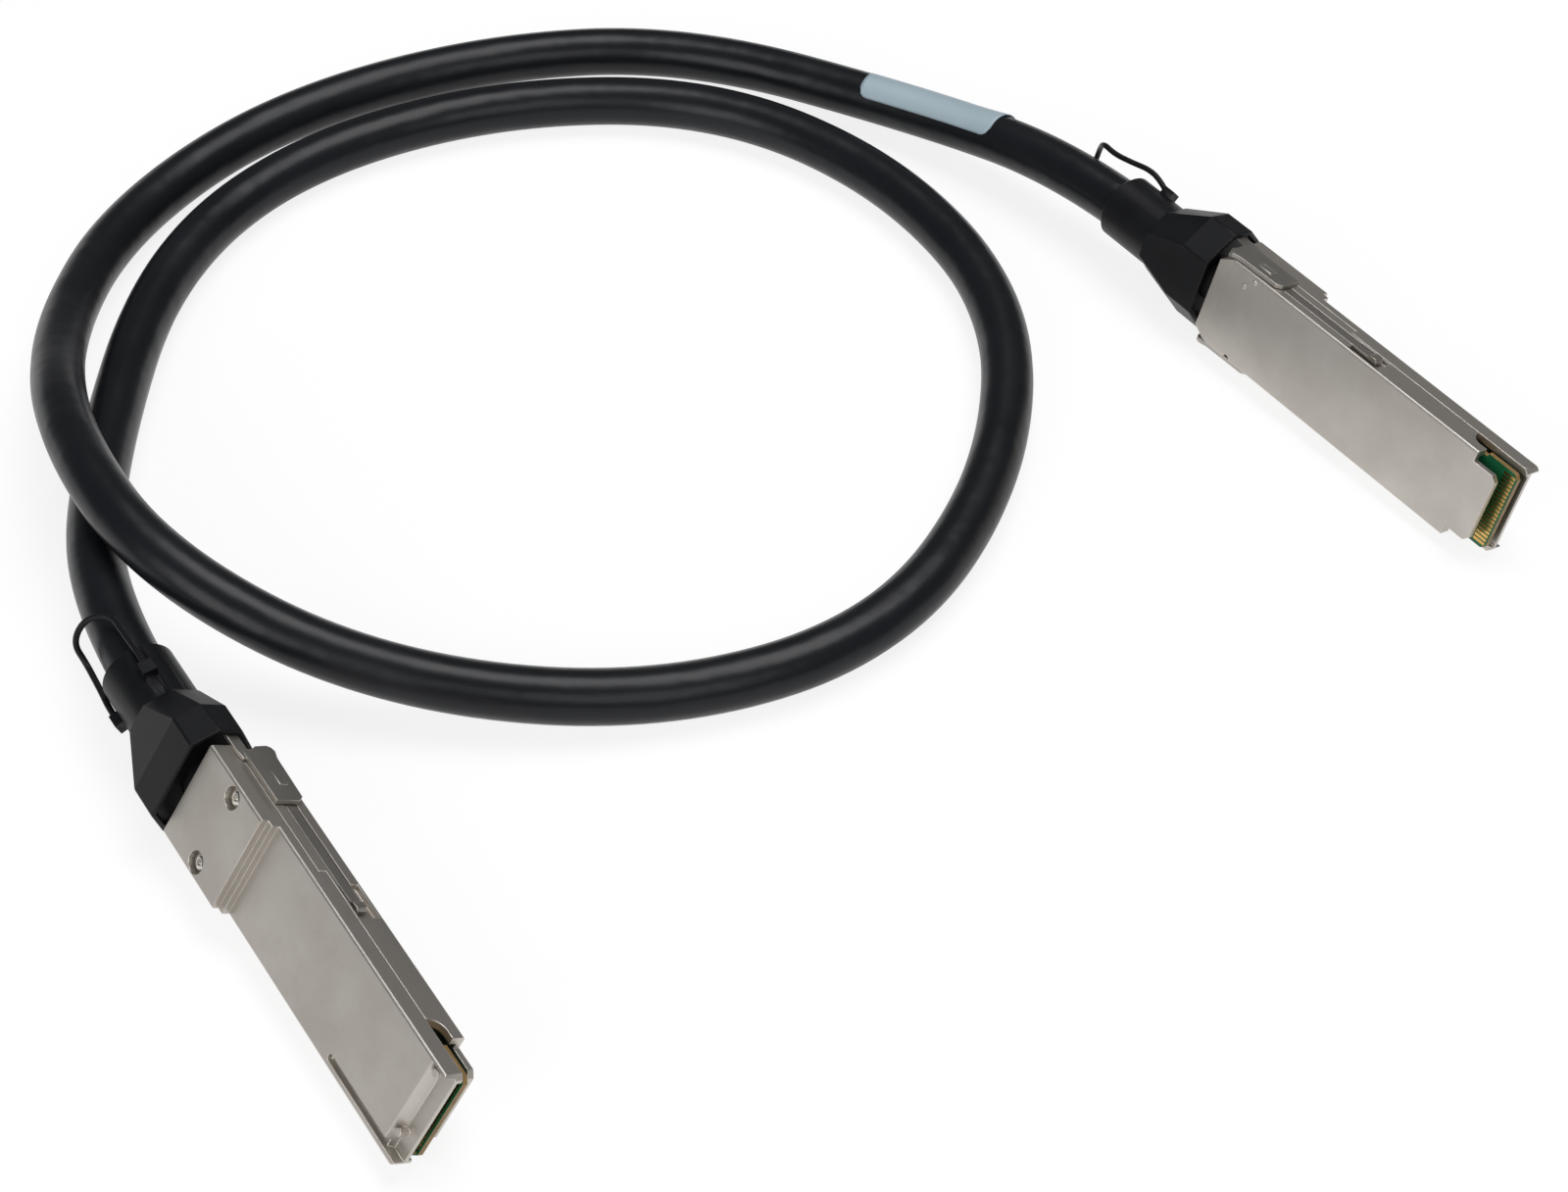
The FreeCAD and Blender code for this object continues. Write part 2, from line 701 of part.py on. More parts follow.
def relief_front():
    return CAVITY_REAR + SEAT_GAP + RELIEF_FLANGE_LENGTH


def crimp_ferrule():
    outer = RELIEF_FLANGE_RADIUS
    inner = outer - FERRULE_WALL
    x0 = relief_front()
    x1 = x0 + FERRULE_LENGTH
    return turned([(x0, inner), (x0, outer), (x1, outer), (x1, inner)])


def strain_relief():
    """Moulded plug of the cable's end, locked in the port of the shell halves."""
    groove_front = CAVITY_REAR + SEAT_GAP
    neck_front = REAR_X - SEAT_GAP
    return turned(
        [
            (relief_front(), 0),
            (relief_front(), RELIEF_FLANGE_RADIUS),
            (groove_front, RELIEF_FLANGE_RADIUS),
            (groove_front, RELIEF_GROOVE_RADIUS),
            (neck_front, RELIEF_GROOVE_RADIUS),
            (neck_front, RELIEF_NECK_RADIUS),
            (RELIEF_NECK_REAR, RELIEF_NECK_RADIUS),
            (RELIEF_NECK_REAR, RELIEF_BODY_RADIUS),
            (RELIEF_REAR, RELIEF_BODY_RADIUS),
            (RELIEF_REAR, 0),
        ]
    )


# ---------------------------------------------------------------- release mechanism

def whole_outline(half):
    """Outline of y and z about the cable's axis, from its half on the left side."""
    outline = half + [(-y, z) for y, z in reversed(half)]
    return [(y, AXIS_Z + z) for y, z in outline]


def flange_outline():
    """Eight-cornered shield outline of the flange: its flat sides cover the webs."""
    side_top = FLANGE_RISE - FLANGE_TOP_CUT_Z
    side_low = -WEB_BOTTOM - WEB_COVER - AXIS_Z
    return whole_outline(
        [
            (FLANGE_HALF_WIDTH - FLANGE_TOP_CUT_Y, FLANGE_RISE),
            (FLANGE_HALF_WIDTH, side_top),
            (FLANGE_HALF_WIDTH, side_low),
            (FLANGE_HALF_WIDTH - FLANGE_LOW_CUT_Y, -FLANGE_DROP),
        ]
    )


def flange_slab(inset, x0, x1):
    """The flange's outline, moved inward by inset and extruded from x0 to x1."""
    wire = ring_wire(flange_outline(), x0)
    if inset > 0:
        wire = wire.makeOffset2D(-inset)
    return Part.Face(wire).extrude(V(x1 - x0, 0, 0))


def tube_outline():
    """Eight-cornered outline that the taper ends on, around the tube."""
    corner = TUBE_RADIUS * math.tan(math.radians(22.5))
    return whole_outline(
        [
            (corner, TUBE_RADIUS),
            (TUBE_RADIUS, corner),
            (TUBE_RADIUS, -corner),
            (corner, -TUBE_RADIUS),
        ]
    )


def lug_rear():
    return SLEEVE_REAR + LUG_AHEAD


def sleeve_lugs():
    """Lugs high on both flanks of the tube, to which the pull loop is moulded."""
    y0 = CABLE_RADIUS + SLEEVE_CABLE_GAP + LUG_ROOT
    y1 = TUBE_RADIUS + LUG_RISE
    half = LUG_WIDTH / 2
    lug = box(lug_rear(), lug_rear() + LUG_LENGTH, y0, y1, AXIS_Z - half, AXIS_Z + half)
    lug.rotate(V(0, 0, AXIS_Z), V(1, 0, 0), LUG_ANGLE)
    return both_sides(lug)


def release_sleeve():
    """Collar with a cup for the slider's bridge, tapering into a tube on the cable."""
    flange = flange_slab(0, FLANGE_REAR, FLANGE_FRONT)
    taper = Part.makeLoft(
        [ring_wire(flange_outline(), FLANGE_REAR), ring_wire(tube_outline(), TAPER_REAR)],
        True,
        True,
    )
    end = SLEEVE_REAR + TUBE_END_CHAMFER
    tube = turned(
        [
            (TAPER_REAR + OVER, 0),
            (TAPER_REAR + OVER, TUBE_RADIUS),
            (end, TUBE_RADIUS),
            (SLEEVE_REAR, TUBE_RADIUS - TUBE_END_CHAMFER),
            (SLEEVE_REAR, 0),
        ]
    )
    body = fused([flange, taper, tube] + sleeve_lugs())
    relief_bore = RELIEF_BODY_RADIUS + SLEEVE_RELIEF_GAP
    cable_bore = CABLE_RADIUS + SLEEVE_CABLE_GAP
    cup = flange_slab(CUP_WALL, CUP_FLOOR, FLANGE_FRONT + OVER)
    wide = rod_x(RELIEF_REAR - SLEEVE_RELIEF_GAP, FLANGE_FRONT, 0, AXIS_Z, relief_bore)
    narrow = rod_x(SLEEVE_REAR - OVER, FLANGE_FRONT, 0, AXIS_Z, cable_bore)
    return cut(body, [cup, wide, narrow])


def rounded_path(points, share):
    """Straight runs joined by tangent arcs; returns the wire and the arcs' data."""
    edges = []
    arcs = []
    start = points[0]
    for i in range(1, len(points) - 1):
        before = points[i - 1] - points[i]
        after = points[i + 1] - points[i]
        short = min(before.Length, after.Length)
        turn = math.pi - before.getAngle(after)
        tangent = share * short
        radius = tangent / math.tan(turn / 2)
        before.normalize()
        after.normalize()
        first = points[i] + before * tangent
        last = points[i] + after * tangent
        inward = before + after
        inward.normalize()
        centre = points[i] + inward * (radius / math.cos(turn / 2))
        middle = centre - inward * radius
        edges.append(Part.LineSegment(start, first).toShape())
        edges.append(Part.Arc(first, middle, last).toShape())
        arcs.append({"centre": centre, "radius": radius, "turn": turn, "middle": middle, "axis": after.cross(before)})
        start = last
    edges.append(Part.LineSegment(start, points[-1]).toShape())
    return Part.Wire(edges), arcs


def swept_rod(wire, radius):
    first = wire.Edges[0]
    begin = first.valueAt(first.FirstParameter)
    heading = first.tangentAt(first.FirstParameter)
    profile = Part.Wire([Part.makeCircle(radius, begin, heading)])
    return wire.makePipeShell([profile], True, False)


def pull_loop():
    """Thin loop from lug to lug, which passes over the cable behind the sleeve."""
    root = TUBE_RADIUS + LOOP_TUBE_GAP + LOOP_RADIUS
    y0 = root * math.cos(math.radians(LUG_ANGLE))
    z0 = AXIS_Z + root * math.sin(math.radians(LUG_ANGLE))
    over = AXIS_Z + CABLE_RADIUS + LOOP_CABLE_GAP + LOOP_RADIUS
    bow = y0 + LOOP_BOW
    x0 = lug_rear()
    half = [
        V(x0, y0, z0),
        V(x0 - 0.16 * LOOP_REACH, y0, z0),
        V(x0 - 0.42 * LOOP_REACH, bow, z0 - LOOP_SAG),
        V(x0 - 0.80 * LOOP_REACH, bow - LOOP_BOW / 3, z0 - LOOP_SAG / 3),
        V(x0 - 0.96 * LOOP_REACH, bow / 2, (z0 + over) / 2),
    ]
    other = [V(p.x, -p.y, p.z) for p in reversed(half)]
    crown = [V(x0 - LOOP_REACH, 0, over)]
    wire, arcs = rounded_path(half + crown + other, ARC_SHARE)
    return swept_rod(wire, LOOP_RADIUS)


def ear_outline():
    """Side view of one ear with its round knob and the web to the bridge."""
    bridge = CUP_FLOOR + BRIDGE_THICK
    knob = -EAR_BOTTOM - EAR_KNOB
    neck = EAR_REAR_X + EAR_NECK_LENGTH
    ear = [
        (EAR_FRONT_X, -EAR_TOP),
        (EAR_FRONT_X, -EAR_BOTTOM + EAR_CORNER),
        (EAR_FRONT_X - 0.7 * EAR_CORNER, -EAR_BOTTOM + 0.2 * EAR_CORNER),
        (neck, -EAR_BOTTOM),
        (EAR_REAR_X + EAR_CORNER, knob),
        (EAR_REAR_X + 0.3 * EAR_CORNER, knob + 0.3 * EAR_CORNER),
        (EAR_REAR_X, knob + 0.9 * EAR_CORNER),
        (EAR_REAR_X + 0.2 * EAR_CORNER, -WEB_BOTTOM - 1.2 * EAR_CORNER),
        (EAR_REAR_X + 0.9 * EAR_CORNER, -WEB_BOTTOM - 0.4 * EAR_CORNER),
        (EAR_REAR_X + 0.8 * EAR_CORNER, -EAR_TOP),
    ]
    web = [
        (neck, -WEB_TOP - WEB_DROP),
        (neck, -WEB_BOTTOM),
        (bridge, -WEB_BOTTOM),
        (bridge, -WEB_TOP),
        (EAR_REAR_X + 0.8 * EAR_CORNER, -WEB_TOP),
    ]
    return ear, web


def slider_arm():
    """Arm in the side recess: root under the ear, tab for the spring, wedge tip."""
    y1 = HALF_WIDTH - ARM_RECESS_DEPTH + SLIDE_GAP + ARM_THICK
    y0 = y1 - ARM_THICK
    z1 = -ARM_TOP
    z0 = z1 - ARM_HEIGHT
    rear = EAR_REAR_X + EAR_CORNER
    ear_mid = HALF_WIDTH + SLIDE_GAP + EAR_THICK / 2
    strip = box(rear, -ARM_TIP, y0, y1, z0, z1)
    root = box(rear, EAR_FRONT_X - ARM_THICK, y0, ear_mid, z0, z1)
    tip = plan_profile(
        [
            (-ARM_TIP, y1),
            (-ARM_TIP - TIP_RISE, y1 + TIP_RISE),
            (-ARM_TIP - TIP_LENGTH + TIP_RISE, y1 + TIP_RISE),
            (-ARM_TIP - TIP_LENGTH, y1),
            (-ARM_TIP - TIP_LENGTH, y0),
            (-ARM_TIP, y0),
        ],
        z0,
        z1,
    )
    tab = box(spring_front(), spring_front() + TAB_THICK, SPRING_Y - SPRING_RADIUS, y1, z0, z1)
    return [strip, root, tip, tab]


def latch_slider():
    """Bent metal slider: bridge around the neck, ears outside, arms to the cage tabs."""
    inner = HALF_WIDTH + SLIDE_GAP
    ear, web = ear_outline()
    side = [side_profile(ear, inner, inner + EAR_THICK), side_profile(web, inner, inner + WEB_THICK)]
    side += slider_arm()
    pieces = []
    for piece in side:
        pieces += both_sides(piece)
    bridge = flange_slab(CUP_WALL + BRIDGE_GAP, CUP_FLOOR, CUP_FLOOR + BRIDGE_THICK)
    hole = rod_x(CUP_FLOOR - OVER, FLANGE_FRONT, 0, AXIS_Z, RELIEF_NECK_RADIUS + SEAT_GAP + SLIDE_GAP)
    return cut(fused([bridge] + pieces), [hole])


def return_spring():
    """Small compression spring, as its envelope, between the stop and the tab."""
    outer = rod_x(SPRING_REAR_X, spring_front(), SPRING_Y, spring_z(), SPRING_RADIUS)
    inner = SPRING_RADIUS - SPRING_WIRE
    return outer.cut(rod_x(SPRING_REAR_X, spring_front(), SPRING_Y, spring_z(), inner))


def return_springs():
    return Part.makeCompound(both_sides(return_spring()))


# ---------------------------------------------------------------- plugs in place

PLUG_PIECES = {
    "top_shell": top_shell,
    "bottom_shell": bottom_shell,
    "shell_screws": shell_screws,
    "paddle_card": paddle_card,
    "contact_fingers": contact_fingers,
    "memory_chip": memory_chip,
    "coupling_capacitors": coupling_capacitors,
    "signal_pairs": signal_pairs,
    "crimp_ferrule": crimp_ferrule,
    "strain_relief": strain_relief,
    "latch_slider": latch_slider,
    "return_springs": return_springs,
    "release_sleeve": release_sleeve,
    "pull_loop": pull_loop,
}


def lying_placement(pieces, place, turn):
    """Placement that turns a plug and sets its lowest corner on z = 0."""
    rotation = FreeCAD.Rotation(*turn)
    low = 0.0
    for piece in pieces.values():
        posed = piece.copy()
        posed.Placement = FreeCAD.Placement(V(0, 0, 0), rotation)
        low = min(low, posed.optimalBoundingBox(False, False).ZMin)
    return FreeCAD.Placement(V(place[0], place[1], -low), rotation)


def cable_points(place_a, place_b):
    """Route of the cable: a lead on each plug's axis and the laid points between."""
    lead = [V(RELIEF_REAR, 0, AXIS_Z), V(RELIEF_REAR - LEAD_LENGTH, 0, AXIS_Z)]
    start = [place_a.multVec(p) for p in lead]
    end = [place_b.multVec(p) for p in reversed(lead)]
    return start + [V(*p) for p in ROUTE] + end


def label_wrap(arc):
    """Label over the top of the cable, centred on one bend of its route."""
    up = arc["axis"] if arc["axis"].z > 0 else -arc["axis"]
    up.normalize()
    inward = arc["centre"] - arc["middle"]
    inward.normalize()
    last = math.radians(LABEL_EDGE_ANGLE)
    first = last - math.radians(LABEL_WRAP_ANGLE)

    def point(angle, radius):
        return arc["middle"] + (up * math.cos(angle) + inward * math.sin(angle)) * radius

    inner = CABLE_RADIUS
    outer = CABLE_RADIUS + LABEL_THICK
    middle = (first + last) / 2
    edges = [
        Part.Arc(point(first, outer), point(middle, outer), point(last, outer)),
        Part.LineSegment(point(last, outer), point(last, inner)),
        Part.Arc(point(last, inner), point(middle, inner), point(first, inner)),
        Part.LineSegment(point(first, inner), point(first, outer)),
    ]
    strip = Part.Face(Part.Wire([edge.toShape() for edge in edges]))
    swing = math.degrees(LABEL_LENGTH / arc["radius"])
    strip.rotate(arc["centre"], up, -swing / 2)
    return strip.revolve(arc["centre"], up, swing)


def main():
    os.makedirs("parts", exist_ok=True)
    pieces = {name: build() for name, build in PLUG_PIECES.items()}
    place_a = lying_placement(pieces, PLUG_A_PLACE, PLUG_A_TURN)
    place_b = lying_placement(pieces, PLUG_B_PLACE, PLUG_B_TURN)
    nodes = {}
    for letter, placement in (("a", place_a), ("b", place_b)):
        for name, piece in pieces.items():
            posed = piece.copy()
            posed.Placement = placement
            nodes[name + "_" + letter] = posed
    route = cable_points(place_a, place_b)
    wire, arcs = rounded_path(route, ARC_SHARE)
    nodes["cable_jacket"] = swept_rod(wire, CABLE_RADIUS)
    nodes["label_wrap"] = label_wrap(arcs[LABEL_BEND_INDEX])
    for name, shape in nodes.items():
        shape.exportStep(os.path.join("parts", name + ".step"))

    print("cable length %.1f mm" % wire.Length)
    print("bend radii " + " ".join("%.0f" % arc["radius"] for arc in arcs))
    expected = math.pi * CABLE_RADIUS**2 * wire.Length
    print("cable volume %.1f, section times length %.1f" % (nodes["cable_jacket"].Volume, expected))
    for point in route:
        print("route %.2f %.2f %.2f" % (point.x, point.y, point.z))
    box_all = None
    for name, shape in nodes.items():
        if name in ("cable_jacket", "label_wrap"):
            continue
        bounds = shape.optimalBoundingBox(False, False)
        if box_all is None:
            box_all = bounds
        else:
            box_all.add(bounds)
    print("plugs' box x %.2f %.2f y %.2f %.2f z %.2f %.2f" % (
        box_all.XMin, box_all.XMax, box_all.YMin, box_all.YMax, box_all.ZMin, box_all.ZMax))


main()
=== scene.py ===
# %% [markdown]
# ## A copper cable with a metal plug at each end
# The cable joins two network units that stand close together. Each end has a stepped
# metal plug, a black release sleeve with a thin pull loop, and a small sliding latch.
# The solid model is loaded first and stays where it is; everything here dresses it.

# %% Load the solid model
import json
import math
import bmesh
import bpy
from mathutils import Matrix, Vector


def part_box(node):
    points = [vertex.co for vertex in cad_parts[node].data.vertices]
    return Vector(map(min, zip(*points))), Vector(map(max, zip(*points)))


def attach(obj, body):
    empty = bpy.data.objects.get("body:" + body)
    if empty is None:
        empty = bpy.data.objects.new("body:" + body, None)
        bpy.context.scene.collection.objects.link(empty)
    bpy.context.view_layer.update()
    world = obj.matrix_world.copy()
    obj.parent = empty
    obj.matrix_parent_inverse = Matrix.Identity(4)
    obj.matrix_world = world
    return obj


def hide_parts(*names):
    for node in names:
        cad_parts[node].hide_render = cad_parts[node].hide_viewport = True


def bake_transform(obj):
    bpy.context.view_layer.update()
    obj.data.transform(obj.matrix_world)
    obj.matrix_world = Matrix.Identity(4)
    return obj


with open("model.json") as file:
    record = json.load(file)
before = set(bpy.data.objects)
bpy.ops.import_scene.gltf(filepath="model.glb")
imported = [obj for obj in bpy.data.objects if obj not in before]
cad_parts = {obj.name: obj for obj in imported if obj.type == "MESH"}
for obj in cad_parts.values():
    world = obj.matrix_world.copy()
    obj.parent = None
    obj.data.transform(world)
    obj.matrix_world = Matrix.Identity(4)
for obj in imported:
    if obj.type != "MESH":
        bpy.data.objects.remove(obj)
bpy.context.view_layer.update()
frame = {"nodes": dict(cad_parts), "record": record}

MM = 0.001
nodes = frame["nodes"]
SLOTS = {part["node"]: part["material_slot"] for part in frame["record"]["subparts"]}
print("nodes:", len(nodes))


# %% [markdown]
# ## Finding each plug
# The two plugs lie turned and rolled on the table, so nothing on them is level. The
# record names two places on each plug, the centre of its nose and a point on its upper
# nose face. Their directions give the plug's own x and z, and y follows from them.
# A piece can then be drawn in plain plug millimetres and turned into place at once.

# %% A matrix from plug millimetres to the scene
NOSE_TO_FACE_POINT = 30.0  # the nose lies this far ahead of the point on its upper face


def plug_matrix(letter):
    """The matrix that turns plug millimetres into scene metres."""
    mounts = {m["name"]: m for m in frame["record"]["mounts"]}
    forward = Vector(mounts["cage_end_" + letter]["axis"]).normalized()
    upward = Vector(mounts["nose_face_" + letter]["axis"]).normalized()
    left = upward.cross(forward).normalized()
    turn = Matrix((forward, left, upward)).transposed().to_4x4()
    face_point = Vector(mounts["nose_face_" + letter]["pos_m"])
    nose = face_point + forward * NOSE_TO_FACE_POINT * MM
    return Matrix.Translation(nose) @ turn @ Matrix.Scale(MM, 4)


PLUGS = {letter: plug_matrix(letter) for letter in "ab"}
REAR_X = -73.4  # rear face of the shell, behind the nose
CABLE_AXIS_Z = -3.0  # the cable's axis, below the upper nose face
print("nose of plug a:", [round(v, 4) for v in PLUGS["a"].translation])


# %% Putting a finished bmesh into the scene
def new_piece(name, bm, matrix=None):
    """Make an object at the origin whose mesh is already in place."""
    if matrix is not None:
        bmesh.ops.transform(bm, matrix=matrix, verts=bm.verts)
    mesh = bpy.data.meshes.new(name)
    bm.to_mesh(mesh)
    bm.free()
    piece = bpy.data.objects.new(name, mesh)
    bpy.context.scene.collection.objects.link(piece)
    return piece


def shade_smooth(piece, angle=40):
    """Smooth shading that keeps edges sharper than the angle."""
    piece.data.shade_smooth()
    piece.data.set_sharp_from_angle(angle=math.radians(angle))


def give_material(piece, *materials):
    """Replace the piece's materials by these."""
    piece.data.materials.clear()
    for material in materials:
        piece.data.materials.append(material)


def stand_in(piece, node_name, body):
    """The piece takes the node's place and moves with the body."""
    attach(piece, body)
    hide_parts(node_name)


# %% [markdown]
# ## Small node helpers
# A finish is a handful of shader nodes. These helpers only shorten the making of them:
# one adds a node with its values, one starts a material and one starts a group. Two
# more add what nearly every finish needs, a noise texture and a mix of two colours.

# %% Node helpers
FLOAT = "NodeSocketFloat"
COLOUR = "NodeSocketColor"
MIX_A, MIX_B, MIX_RESULT = 6, 7, 2  # the colour sockets of a Mix node, by number


def add_node(tree, kind, **values):
    """Add a node; each value goes to its property or, failing that, to its input."""
    node = tree.nodes.new(kind)
    for key, value in values.items():
        if hasattr(node, key):
            setattr(node, key, value)
        else:
            node.inputs[key.replace("_", " ")].default_value = value
    return node


def new_material(name):
    """A material with its Principled shader ready to be set."""
    material = bpy.data.materials.new(name)
    material.use_nodes = True
    tree = material.node_tree
    shader = tree.nodes["Principled BSDF"]
    return material, tree, shader


def new_group(name, inputs, outputs):
    """An empty node group with named inputs and outputs."""
    group = bpy.data.node_groups.new(name, "ShaderNodeTree")
    for label, kind, default in inputs:
        socket = group.interface.new_socket(label, in_out="INPUT", socket_type=kind)
        socket.default_value = default
    for label, kind in outputs:
        group.interface.new_socket(label, in_out="OUTPUT", socket_type=kind)
    return group, group.nodes.new("NodeGroupInput"), group.nodes.new("NodeGroupOutput")


def object_texture(tree, kind, **values):
    """A texture node on the object's own metres."""
    place = add_node(tree, "ShaderNodeTexCoord")
    texture = add_node(tree, kind, **values)
    tree.links.new(place.outputs["Object"], texture.inputs["Vector"])
    return texture


def colour_mix(tree, first=None, second=None, **values):
    """A Mix node for colours, with its two colours where they are constant."""
    mix = add_node(tree, "ShaderNodeMix", data_type="RGBA", **values)
    for socket, colour in zip((MIX_A, MIX_B), (first, second)):
        if colour:
            mix.inputs[socket].default_value = (*colour, 1)
    return mix


# %% [markdown]
# ## The grain of cast and moulded parts
# The die-cast shells are plated: the colour hardly changes, but the gloss does, in soft
# clouds and fine grain, with a few darker pin marks from handling. Moulded plastic does
# the same at another scale. Both use one group, which puts out a colour, a roughness
# and a height, so each material only sets its own values.

# %% Surface grain group
PINS_PER_METRE = 620.0
PIN_TINT = (0.45, 0.42, 0.38)  # what a pin mark leaves of the colour


def surface_grain_group():
    """Colour with clouds and pin marks, a roughness that follows them, and a height."""
    inputs = [
        ("Colour", COLOUR, (0.5, 0.5, 0.5, 1)),
        ("Cloud Colour", COLOUR, (0.4, 0.4, 0.4, 1)),
        ("Cloud Scale", FLOAT, 90.0),
        ("Grain Scale", FLOAT, 2600.0),
        ("Roughness", FLOAT, 0.35),
        ("Roughness Change", FLOAT, 0.08),
        ("Pin Marks", FLOAT, 0.0),
    ]
    outputs = [("Colour", COLOUR), ("Roughness", FLOAT), ("Height", FLOAT)]
    group, source, sink = new_group("surface_grain", inputs, outputs)
    link = group.links.new

    # Clouds blend the two colours.
    clouds = object_texture(group, "ShaderNodeTexNoise", Detail=4.0, Roughness=0.6)
    link(source.outputs["Cloud Scale"], clouds.inputs["Scale"])
    spread = add_node(group, "ShaderNodeMapRange", From_Min=0.35, From_Max=0.65)
    link(clouds.outputs["Fac"], spread.inputs["Value"])
    tint = colour_mix(group)
    link(spread.outputs["Result"], tint.inputs["Factor"])
    link(source.outputs["Colour"], tint.inputs[MIX_A])
    link(source.outputs["Cloud Colour"], tint.inputs[MIX_B])

    # A pin mark is the small middle of a cell; there the colour is darker.
    pins = object_texture(group, "ShaderNodeTexVoronoi", Scale=PINS_PER_METRE, Randomness=1.0)
    pin_edge = add_node(
        group, "ShaderNodeMapRange", From_Min=0.05, From_Max=0.09, To_Min=1.0, To_Max=0.0)
    link(pins.outputs["Distance"], pin_edge.inputs["Value"])
    pin_share = add_node(group, "ShaderNodeMath", operation="MULTIPLY")
    link(pin_edge.outputs["Result"], pin_share.inputs[0])
    link(source.outputs["Pin Marks"], pin_share.inputs[1])
    darker = colour_mix(group, None, PIN_TINT, blend_type="MULTIPLY")
    darker.inputs["Factor"].default_value = 1.0
    link(tint.outputs[MIX_RESULT], darker.inputs[MIX_A])
    pinned = colour_mix(group)
    link(pin_share.outputs[0], pinned.inputs["Factor"])
    link(tint.outputs[MIX_RESULT], pinned.inputs[MIX_A])
    link(darker.outputs[MIX_RESULT], pinned.inputs[MIX_B])
    link(pinned.outputs[MIX_RESULT], sink.inputs["Colour"])

    # The gloss swings with the clouds about its middle value.
    centred = add_node(group, "ShaderNodeMath", operation="SUBTRACT")
    centred.inputs[1].default_value = 0.5
    link(clouds.outputs["Fac"], centred.inputs[0])
    swing = add_node(group, "ShaderNodeMath", operation="MULTIPLY_ADD")
    link(centred.outputs[0], swing.inputs[0])
    link(source.outputs["Roughness Change"], swing.inputs[1])
    link(source.outputs["Roughness"], swing.inputs[2])
    link(swing.outputs[0], sink.inputs["Roughness"])

    # Fine grain is the height.
    grain = object_texture(group, "ShaderNodeTexNoise", Detail=3.0, Roughness=0.55)
    link(source.outputs["Grain Scale"], grain.inputs["Scale"])
    link(grain.outputs["Fac"], sink.inputs["Height"])
    return group


GRAIN = surface_grain_group()
GRAIN_DEPTH = 0.02 * MM
print("sockets of the grain group:", len(GRAIN.interface.items_tree))


def grained_material(name, colour, cloud, roughness, change, metallic=0.0, cloud_scale=90.0,
                     grain_scale=2600.0, bump=0.1, specular=0.5, pins=0.0):
    """A material of two close colours, with the shared grain in colour, gloss and height."""
    material, tree, shader = new_material(name)
    grain = add_node(tree, "ShaderNodeGroup", node_tree=GRAIN)
    settings = {
        "Colour": (*colour, 1), "Cloud Colour": (*cloud, 1), "Cloud Scale": cloud_scale,
        "Grain Scale": grain_scale, "Roughness": roughness, "Roughness Change": change,
        "Pin Marks": pins}
    for label, value in settings.items():
        grain.inputs[label].default_value = value
    relief = add_node(tree, "ShaderNodeBump", Strength=bump, Distance=GRAIN_DEPTH)
    tree.links.new(grain.outputs["Colour"], shader.inputs["Base Color"])
    tree.links.new(grain.outputs["Roughness"], shader.inputs["Roughness"])
    tree.links.new(grain.outputs["Height"], relief.inputs["Height"])
    tree.links.new(relief.outputs["Normal"], shader.inputs["Normal"])
    shader.inputs["Metallic"].default_value = metallic
    shader.inputs["Specular IOR Level"].default_value = specular
    return material


# %% Finishes of the plugs
FINISHES = {
    "shell_metal": grained_material(
        "satin_nickel", (0.60, 0.565, 0.52), (0.54, 0.505, 0.46), 0.42, 0.10,
        metallic=1.0, bump=0.05, pins=0.25),
    "slider_steel": grained_material(
        "slider_nickel", (0.50, 0.47, 0.43), (0.42, 0.40, 0.37), 0.38, 0.12,
        metallic=1.0, bump=0.05, pins=0.2),
    "screw_steel": grained_material(
        "bright_screw_steel", (0.72, 0.70, 0.66), (0.62, 0.6, 0.57), 0.18, 0.08,
        metallic=1.0, bump=0.05),
    "spring_steel": grained_material(
        "spring_wire", (0.6, 0.6, 0.6), (0.5, 0.5, 0.5), 0.22, 0.08, metallic=1.0, bump=0.05),
    "card_green": grained_material(
        "green_solder_mask", (0.012, 0.13, 0.05), (0.008, 0.09, 0.035), 0.28, 0.1,
        cloud_scale=500, bump=0.1),
    "contact_gold": grained_material(
        "gold_plating", (0.72, 0.48, 0.16), (0.60, 0.38, 0.12), 0.25, 0.1,
        metallic=1.0, bump=0.05),
    "chip_black": grained_material(
        "chip_resin", (0.02, 0.02, 0.02), (0.03, 0.03, 0.03), 0.5, 0.15, bump=0.25),
    "capacitor_tan": grained_material(
        "capacitor_ceramic", (0.35, 0.24, 0.14), (0.42, 0.32, 0.2), 0.4, 0.1, bump=0.1),
    "pair_insulation": grained_material(
        "foil_wrap", (0.62, 0.66, 0.72), (0.5, 0.55, 0.62), 0.3, 0.2,
        metallic=0.6, cloud_scale=700, bump=0.3),
    "ferrule_brass": grained_material(
        "ferrule_brass", (0.62, 0.46, 0.2), (0.5, 0.36, 0.15), 0.3, 0.15,
        metallic=1.0, bump=0.1),
    "relief_plastic": grained_material(
        "relief_moulding", (0.007, 0.007, 0.008), (0.010, 0.010, 0.012), 0.5, 0.1,
        bump=0.3, specular=0.3),
    "sleeve_plastic": grained_material(
        "black_moulding", (0.0050, 0.0054, 0.0064), (0.0075, 0.0080, 0.0096), 0.42, 0.12,
        grain_scale=3200, bump=0.3, specular=0.22),
}
LAMINATE = grained_material(
    "card_laminate_edge", (0.30, 0.19, 0.065), (0.20, 0.12, 0.04), 0.45, 0.1,
    cloud_scale=600, bump=0.3)
for node_name, slot in SLOTS.items():
    if slot in FINISHES:
        give_material(nodes[node_name], FINISHES[slot])
print("finishes:", len(FINISHES))


